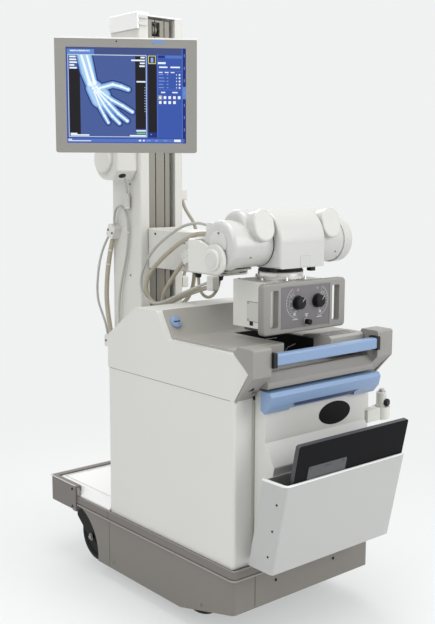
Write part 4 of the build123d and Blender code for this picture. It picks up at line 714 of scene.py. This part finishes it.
for side, facing in SIDES:
    for y, z in ((-412, 1301), (-440, 1249), (-376, 1250)):
        screw(bm, (side * 270.4, y, z), facing, 4.0)
for y, z in arc(TUBE_Y, TUBE_Z, 73, -150, -30, 2):
    for side in (-1, 1):
        screw(bm, (side * 190, y, z), along((0, y - TUBE_Y, z - TUBE_Z)), 3.0)
add_mesh("head_screws", bm, screw_steel, "head")
bm = bmesh.new()
prism(bm, (8, -509, 1206), REAR, rounded(42, 34, 2), SUNK, 0.5)
prism(bm, (8, -509, 1206), REAR, rounded(44.5, 36.5, 2.4), SUNK, 0.25, 1)
add_mesh("blank_label", bm, (label_plate, grey_edge), "head")
bm = bmesh.new()
lathe(bm, (-294, -403, 1218), LEFT, ((27, -0.3), (27, 0.7), (25.8, 1.6), (23, 1.7), (22.2, 0.9), (21.2, 0.9),
                                     (20.5, 1.7), (0, 1.9)), 56)
add_mesh("yoke_cap", bm, shell_grey, "arm_stage_three")
bm = bmesh.new()
for x, z in ((-46, 1262), (46, 1262), (-46, 1190), (46, 1190)):
    screw(bm, (x, -231, z), REAR, 4.5)
for y, z in ((-262, 1262), (-262, 1190)):
    screw(bm, (-285, y, z), LEFT, 4.0)
add_mesh("yoke_screws", bm, screw_steel, "arm_stage_three")

# Arm: screws, black glands of the cords, the collar and the screws of the clamps
ARM_HALF_W, ARM_HALF_H, ARM_Z = 65, 71, 1205
COLLAR_Y = -166  # collar at the mouth of the outer stage
bm = bmesh.new()
for y, z in ((-2, 1191), (128, 1191), (190, 1260), (190, 1150)):
    for side, facing in SIDES:
        screw(bm, (side * ARM_HALF_W, y, z), facing, 4.2)
for x, y in ((34, 82), (-50, -42), (-50, -160)):
    lathe(bm, (x, y, 1134), BELOW, ((13, -0.4), (13, 4), (11, 6), (11, 13), (8.4, 16), (6, 16)), 24)
add_mesh("arm_black_parts", bm, black_mould, "lift")


def clamp_screws(bm, x, facing, radius, blocks_at):
    """Two screws on each clamp block, given by its y and z, its turn in degrees and half their distance."""
    for block_y, block_z, block_turn, span in blocks_at:
        for y, z in arc(block_y, block_z, span, block_turn + 180, block_turn, 1):
            screw(bm, (x, y, z), facing, radius)


bm = bmesh.new()
for side, facing in SIDES:
    prism(bm, (side * (ARM_HALF_W + 0.2), COLLAR_Y, ARM_Z), facing,
          rounded(13, 2 * ARM_HALF_H - 6, 2), -0.4, 1.4)
    prism(bm, (0, COLLAR_Y, ARM_Z + side * ARM_HALF_H), TOP if side > 0 else BELOW,
          rounded(2 * ARM_HALF_W - 6, 13, 2), -0.4, 1.4)
clamp_screws(bm, -93.3, LEFT, 3.6, ((-24, 1192, -25, 12), (-155, 1284, 90, 22), (-157, 1110, 90, 17)))
add_mesh("arm_collar", bm, clamp_plastic, "lift", bevel=0.4)

# Column: plate and socket on the hub, clamp screws, ties round the cords and the ring at the foot
hub_face = ((1, 0, 0), (0, -0.651, 0.759))
hub_at = Vector((-152, 267, 1472.5))
bm = bmesh.new()
prism(bm, hub_at, hub_face, rounded(64, 42, 4), -0.4, 2.2)
for z in (2012, 2036):
    prism(bm, (-84, 233, z), REAR, rounded(38, 12, 2), SUNK, 1.6)
add_mesh("hub_plate", bm, shell_grey, "column", bevel=0.5)
bm = bmesh.new()
prism(bm, hub_at + Vector((-6, 2.2 * -0.759, 2.2 * -0.651)), hub_face, oval(15, 9.5), SUNK, 1.6)
lathe(bm, (-150, 266, 1480), along((0.4, 0.35, -0.85)), ((7, -2), (7, 6), (4.4, 14), (3, 14)), 20)
clamp_screws(bm, -134.3, LEFT, 4.0, ((384, 1262, 25, 14), (384, 838, 0, 38)))
clamp_screws(bm, 126.3, RIGHT, 4.0, ((262, 1400, 90, 14), (254, 1066, 90, 14)))
add_mesh("column_black_parts", bm, black_mould, "column")
bm = bmesh.new()
for at, heading, r in (((-121.5, 402.5, 1190), (-5, 12, -50), 9.6), ((-126, 411, 1136), (-3, 8, -51), 9.6),
                       ((-150, 441, 1128), (0, 10, -46), 5.2), ((-112.4, 296.5, 1262), (0, 1, -30), 5.2),
                       ((160.4, 231, 1220), (-1, 1, -37), 7.2)):
    tie = ((r - 1.5, -3.2), (r + 0.9, -3.2), (r + 1.2, 0), (r + 0.9, 3.2), (r - 1.5, 3.2))
    lathe(bm, at, along(heading), tie, 24)
ridges = [(10.4 if k % 2 else 12, 3.2 * k + 6) for k in range(13)]
connector = [(6, 0), (12, 0)] + ridges + [(8, 48), (5, 56), (3, 56)]
lathe(bm, (-114.6, 297.4, 1350), along((-0.02, 0.0, 1)), connector, 24)
add_mesh("cord_ties", bm, shell_grey, "column")
bm = bmesh.new()
lathe(bm, (0, 327, 305), TOP, ((118.8, 0.2), (118.8, 3), (116, 5), (112, 5.5)), 72)
add_mesh("turntable_ring", bm, dark_steel, "column")
bm = bmesh.new()
for z in (420, 760, 1100, 1440, 1780):
    for side, facing in SIDES:
        screw(bm, (side * 100, 300, z), facing, 4.0)
for x, y in ((-60, 260), (80, 260), (80, 394), (-60, 394)):
    screw(bm, (x, y, 2045.3), TOP, 4.5)
add_mesh("column_screws", bm, screw_steel, "column")

# Base: seams and a painted shadow line under the top cover, vents, bolts, painted shade strips in the door's
# side gaps, beads of the strip and the bumper, deck, console and hand switch
rear_slope = ((1, 0, 0), (0, -0.722, 0.692))  # slanted face of the handle brackets
COVER_X, SKIRT_X, STRIP_X, BUMPER_X = 310, 312, 320, 326  # half widths of the base's pieces
SKIRT_REAR = -541
CASTER_AXLE = (332, 102)
CONSOLE_TOP = 962.3
bm = bmesh.new()
for side, facing in SIDES:
    prism(bm, (side * STRIP_X, 145, 248.5), facing, rounded(1.4, 36, 0.6), SUNK, 0.25)
    prism(bm, (side * SKIRT_X, 149, 140), facing, rounded(1.2, 176, 0.5), SUNK, 0.25)
    screw(bm, (side * BUMPER_X, 378, 292), facing, 4.6)
    screw(bm, (side * BUMPER_X, 378, 224), facing, 4.6)
    screw(bm, (side * 134, SKIRT_REAR, 190), REAR, 4.6)
prism(bm, (-224, SKIRT_REAR, 178), REAR, rounded(1.8, 102, 0.8), SUNK, 0.25)
for row in range(12):
    for x in (-90, 90):
        prism(bm, (x, 136, 400 + 9 * row), FRONT, rounded(110, 3.6, 1.7), SUNK, 0.3)
prism(bm, (-276, -577, 842.5), rear_slope, [(-11, -9), (11, -9), (0, 11)], SUNK, 0.5)
add_mesh("base_dark_parts", bm, black_mould, "base")
bm = bmesh.new()
for side, facing in SIDES:
    screw(bm, (side * SKIRT_X, 126, 78), facing, 5.0)
    screw(bm, (side * SKIRT_X, -380, 100), facing, 5.0)
    screw(bm, (side * 260, -566, 824.5), rear_slope, 7.5)
    # Plate below the end of the bumper, short enough to clear the turning caster wheel
    prism(bm, (side * 318, 372, 209), facing, rounded(24, 7, 2), -8, 4)
add_mesh("base_bolts", bm, screw_steel, "base")
# Dark line at the seam under the top cover's edge: a real seam, drawn wider as painted shadow under the
# cover's overhang
bm = bmesh.new()
for side, facing in SIDES:
    prism(bm, (side * COVER_X, -190, 800.6), facing, rounded(650, 1.6, 0.7), SUNK, 0.25)
add_mesh("cover_seam_shadows", bm, dial_grey, "base")
# Strips filling the gaps beside the door, coloured as the door's shaded side: painted shade in place of the
# gaps' own shadow
bm = bmesh.new()
for side in (-1, 1):
    prism(bm, (side * 230, -535.3, 298), TOP, rounded(12, 3.8, 1), 0, 498)
add_mesh("door_gap_shade", bm, gap_shade_beige, "base")
bm = bmesh.new()
for at, wide, deep in (((0, 544.5, 306), 640, 6), ((-322.5, 452, 306), 6, 182), ((322.5, 452, 306), 6, 182)):
    prism(bm, at, TOP, rounded(wide, deep, 2.5), -0.4, 0.6)
add_mesh("bumper_lip", bm, lip_grey, "base", bevel=0.3)
bm = bmesh.new()
for side in (-1, 1):
    prism(bm, (side * 317, 354, 0), RIGHT, [(0, 273), (0, 299), (-8, 298), (-16, 287), (-16, 273)], -4, 4)
add_mesh("bumper_end_caps", bm, face_grey, "base", bevel=1.0)
for side, facing in SIDES:
    tag = "left" if side < 0 else "right"
    bm = bmesh.new()
    lathe(bm, (side * 274.6, *CASTER_AXLE), facing,
          ((13, -0.4), (13, 1.4), (9, 1.6), (9, 6), (7.6, 7.4), (0, 7.4)), 6)
    lathe(bm, (side * 274.8, *CASTER_AXLE), facing, ((14, -0.6), (14, 0.8), (0, 0.8)), 32)
    add_mesh(f"caster_bolt_{tag}", bm, screw_steel, f"caster_{tag}")
# Path round the rear corners of the strip, whose radius is 17
path = ([(-319.4, 352)] + arc(-302.4, -529.4, 17, 180, 270, 6) + arc(302.4, -529.4, 17, 270, 360, 6)
        + [(319.4, 352)])
bead("strip_bead", [(x, y, 234) for x, y in path], 3.4, bead_rubber, "base")
bead("strip_lip", [(x * 0.995, y + 1, 266.2) for x, y in path], 1.9, bead_rubber, "base")
edge = [(x, y, 302.2) for x, y in ((-276, 160), (-276, 505), (276, 505), (276, 160))]
bead("platform_line", edge, 0.9, shell_grey, "base")
deck_line = [(x, y, 949.4) for x, y in rounded(196, 270, 12, -176, -340)]
bead("deck_line", deck_line, 1.1, grey_edge, "base", closed=True)
slope = ((1, 0, 0), (0, 0.536, 0.844))  # slanted face of the cover, where the round knob sits
knob_at = Vector((-252, -171.5, 993))
bm = bmesh.new()
lathe(bm, knob_at, slope, ((21, -1), (21, 4), (19.5, 8), (17, 9.5), (0, 9.5)), 40)
add_mesh("blue_knob", bm, blue_mould, "base", bevel=0.4)
bm = bmesh.new()
prism(bm, knob_at + 9.5 * Vector((0, -0.844, 0.536)), slope, rounded(26, 4, 1.6), SUNK, 0.4)
for k in range(3):
    prism(bm, (-20 + 26 * k, -420, 889), TOP, rounded(14, 60, 3), SUNK, 1.5)
add_mesh("deck_dark_parts", bm, black_mould, "base")
bm = bmesh.new()
for row in range(3):
    for column in range(4):
        prism(bm, (98 + 33 * column, -542 + 19 * row, CONSOLE_TOP), TOP, rounded(26, 9, 2.4), SUNK, 1.2)
add_mesh("console_bars", bm, face_grey, "base", bevel=0.3)
bm = bmesh.new()
prism(bm, (147.5, -523, CONSOLE_TOP), TOP, rounded(136, 60, 6), SUNK, 0.25)
add_mesh("console_inlay", bm, dial_grey, "base")
bead("well_wire_one", ((-40, -478, 900), (-36, -470, 915), (-10, -455, 922), (40, -440, 926)), 1.6, steel,
     "base")
bead("well_wire_two", ((-52, -400, 893), (-50, -380, 925), (-20, -365, 938), (30, -360, 936)), 1.6, steel,
     "base")
button_out = Vector((0.25, -0.968, 0))  # the way the hand switch's button points
bm = bmesh.new()
lathe(bm, Vector((345, -556, 705)) + 17 * button_out, along(button_out),
      ((13, -2), (13, 8), (11.4, 10.4), (0, 10.8)))
lathe(bm, (345, -556, 741.4), TOP, ((14, 0), (14, 1.6), (9.6, 2.4), (9.6, 8.6), (8.4, 9.8), (0, 9.8)), slot=1)
add_mesh("switch_button", bm, (black_mould, steel), "base")

# Door, bin and detector: blank sign, screws, rim, painted shade in the recess of the pull, frame and plate of
# the detector
DOOR_Y = -583
bm = bmesh.new()
prism(bm, (80, DOOR_Y, 716), REAR, oval(73, 37.5, sides=64), -0.4, 1.8)
add_mesh("blank_sign", bm, sign_black, "door", bevel=0.5)
bm = bmesh.new()
for side, facing in SIDES:
    for y, z in ((-682, 510), (-664, 423), (-646, 337)):
        screw(bm, (side * 270, y, z), facing, 3.4)
    screw(bm, (side * 220, DOOR_Y, 662), REAR, 2.6)
add_mesh("bin_screws", bm, black_mould, "door")
rim = ([(-268, -620)] + arc(-258, -711.5, 10, 180, 270, 6) + arc(258, -711.5, 10, 270, 360, 6)
       + [(268, -620)])
bead("bin_rim", [(x * 0.99, y + 3, 571.5) for x, y in rim], 5.2, rim_white, "door")
# Flat dark sheet on the pull's lower face: painted shade where its recess lies in shadow
bm = bmesh.new()
recess_face = ((1, 0, 0), (0, -0.646, 0.763))
prism(bm, (0, -612, 778), recess_face, [(-149, 16), (149, 16), (130, -2), (-130, -2)], SUNK, 0.3)
add_mesh("pull_shade", bm, painted_shade_blue, "door")
# Leaning face of the detector, from the middle of its lower edge
leaning = ((1, 0, 0), (0, -0.1999, 0.9798))
foot = (15, -656.3, 287)
bm = bmesh.new()
outer, inner = rounded(500.6, 415.6, 8.3, 0, 207.5), rounded(498.6, 413.6, 7.3, 0, 207.5)
for k in range(len(outer)):
    after = (k + 1) % len(outer)
    prism(bm, foot, leaning, [outer[k], outer[after], inner[after], inner[k]], -15.7, -1.0)
add_mesh("detector_frame", bm, frame_metal, "door")
bm = bmesh.new()
prism(bm, foot, leaning, rounded(168, 82, 5, -112, 298), SUNK, 0.9)
prism(bm, foot, leaning, rounded(30, 4, 1.5, -112, 329), 0.8, 1.1, 1)
for x in (-184, -40):
    for y in (266, 330):
        rivet = place(foot, leaning) @ Vector((x, y, 0.8))
        lathe(bm, rivet, leaning, ((4, -0.2), (4, 0.8), (3, 1.2), (0, 1.2)), 18)
prism(bm, foot, leaning, rounded(120, 22, 8, -112, 288), 0.8, 1.2, 1)
add_mesh("detector_plate", bm, (plate_metal, dark_steel), "door")


def ray_mask(tree, *kinds):
    """One for rays of these kinds and nought for all others."""
    rays = add_node(tree, "LightPath").outputs
    mask = rays[kinds[0]]
    for kind in kinds[1:]:
        mask = add_node(tree, "Math", {0: mask, 1: rays[kind]}, operation="MAXIMUM").outputs[0]
    return mask


# Floor, light and world. Camera, mirror and glass rays see the plain backdrop colour.
FLOOR_HALF = 14
corners = [(-FLOOR_HALF, -FLOOR_HALF, 0), (FLOOR_HALF, -FLOOR_HALF, 0),
           (FLOOR_HALF, FLOOR_HALF, 0), (-FLOOR_HALF, FLOOR_HALF, 0)]
floor_mesh = bpy.data.meshes.new("floor")
floor_mesh.from_pydata(corners, [], [(0, 1, 2, 3)])
floor = bpy.data.objects.new("floor", floor_mesh)
scene.collection.objects.link(floor)
backdrop = (0.875, 0.885, 0.885, 1)
floor_mat, tree, surface = new_material("floor")
wire(tree, surface, {"Base Color": (0.84, 0.85, 0.85, 1), "Roughness": 0.7})
plain = add_node(tree, "Emission", {"Color": backdrop, "Strength": 1.0})
distance = add_node(tree, "VectorMath", {0: add_node(tree, "TexCoord").outputs["Object"]}, operation="LENGTH")
fade = add_node(tree, "MapRange", {"Value": distance.outputs["Value"], "From Min": 0.75, "From Max": 2.4,
                                   "To Min": 0.5, "To Max": 1.0}, interpolation_type="SMOOTHSTEP")
direct = ray_mask(tree, "Is Camera Ray", "Is Glossy Ray")
share = add_node(tree, "Math", {0: direct, 1: fade.outputs["Result"]}, operation="MULTIPLY")
mixed = add_node(tree, "MixShader", {"Fac": share.outputs[0], 1: surface.outputs[0], 2: plain.outputs[0]})
wire(tree, tree.nodes["Material Output"], {"Surface": mixed.outputs[0]})
floor_mesh.materials.append(floor_mat)

world = bpy.data.worlds.new("world")
scene.world = world
world.use_nodes = True
tree = world.node_tree
light = wire(tree, tree.nodes["Background"], {"Color": (0.93, 0.95, 0.96, 1), "Strength": 0.60})
seen = add_node(tree, "Background", {"Color": backdrop, "Strength": 1.0})
direct = ray_mask(tree, "Is Camera Ray", "Is Glossy Ray", "Is Transmission Ray")
mixed = add_node(tree, "MixShader", {"Fac": direct, 1: light.outputs[0], 2: seen.outputs[0]})
wire(tree, tree.nodes["World Output"], {"Surface": mixed.outputs[0]})


def area(name, at, target_height, size, power):
    """Soft square lamp that looks at the object's middle."""
    data = bpy.data.lights.new(name, "AREA")
    data.size = size
    data.energy = power
    obj = bpy.data.objects.new(name, data)
    obj.location = at
    obj.rotation_euler = (Vector((0, 0, target_height)) - Vector(at)).to_track_quat("-Z", "Y").to_euler()
    scene.collection.objects.link(obj)


area("key", (-3.6, -1.2, 3.4), 0.9, 2.6, 55)
area("fill", (1.8, -4.2, 2.4), 1.0, 3.0, 88)
area("top", (-0.2, -0.3, 4.4), 1.0, 2.6, 74)
area("back", (1.5, 3.5, 3.4), 1.0, 2.5, 50)
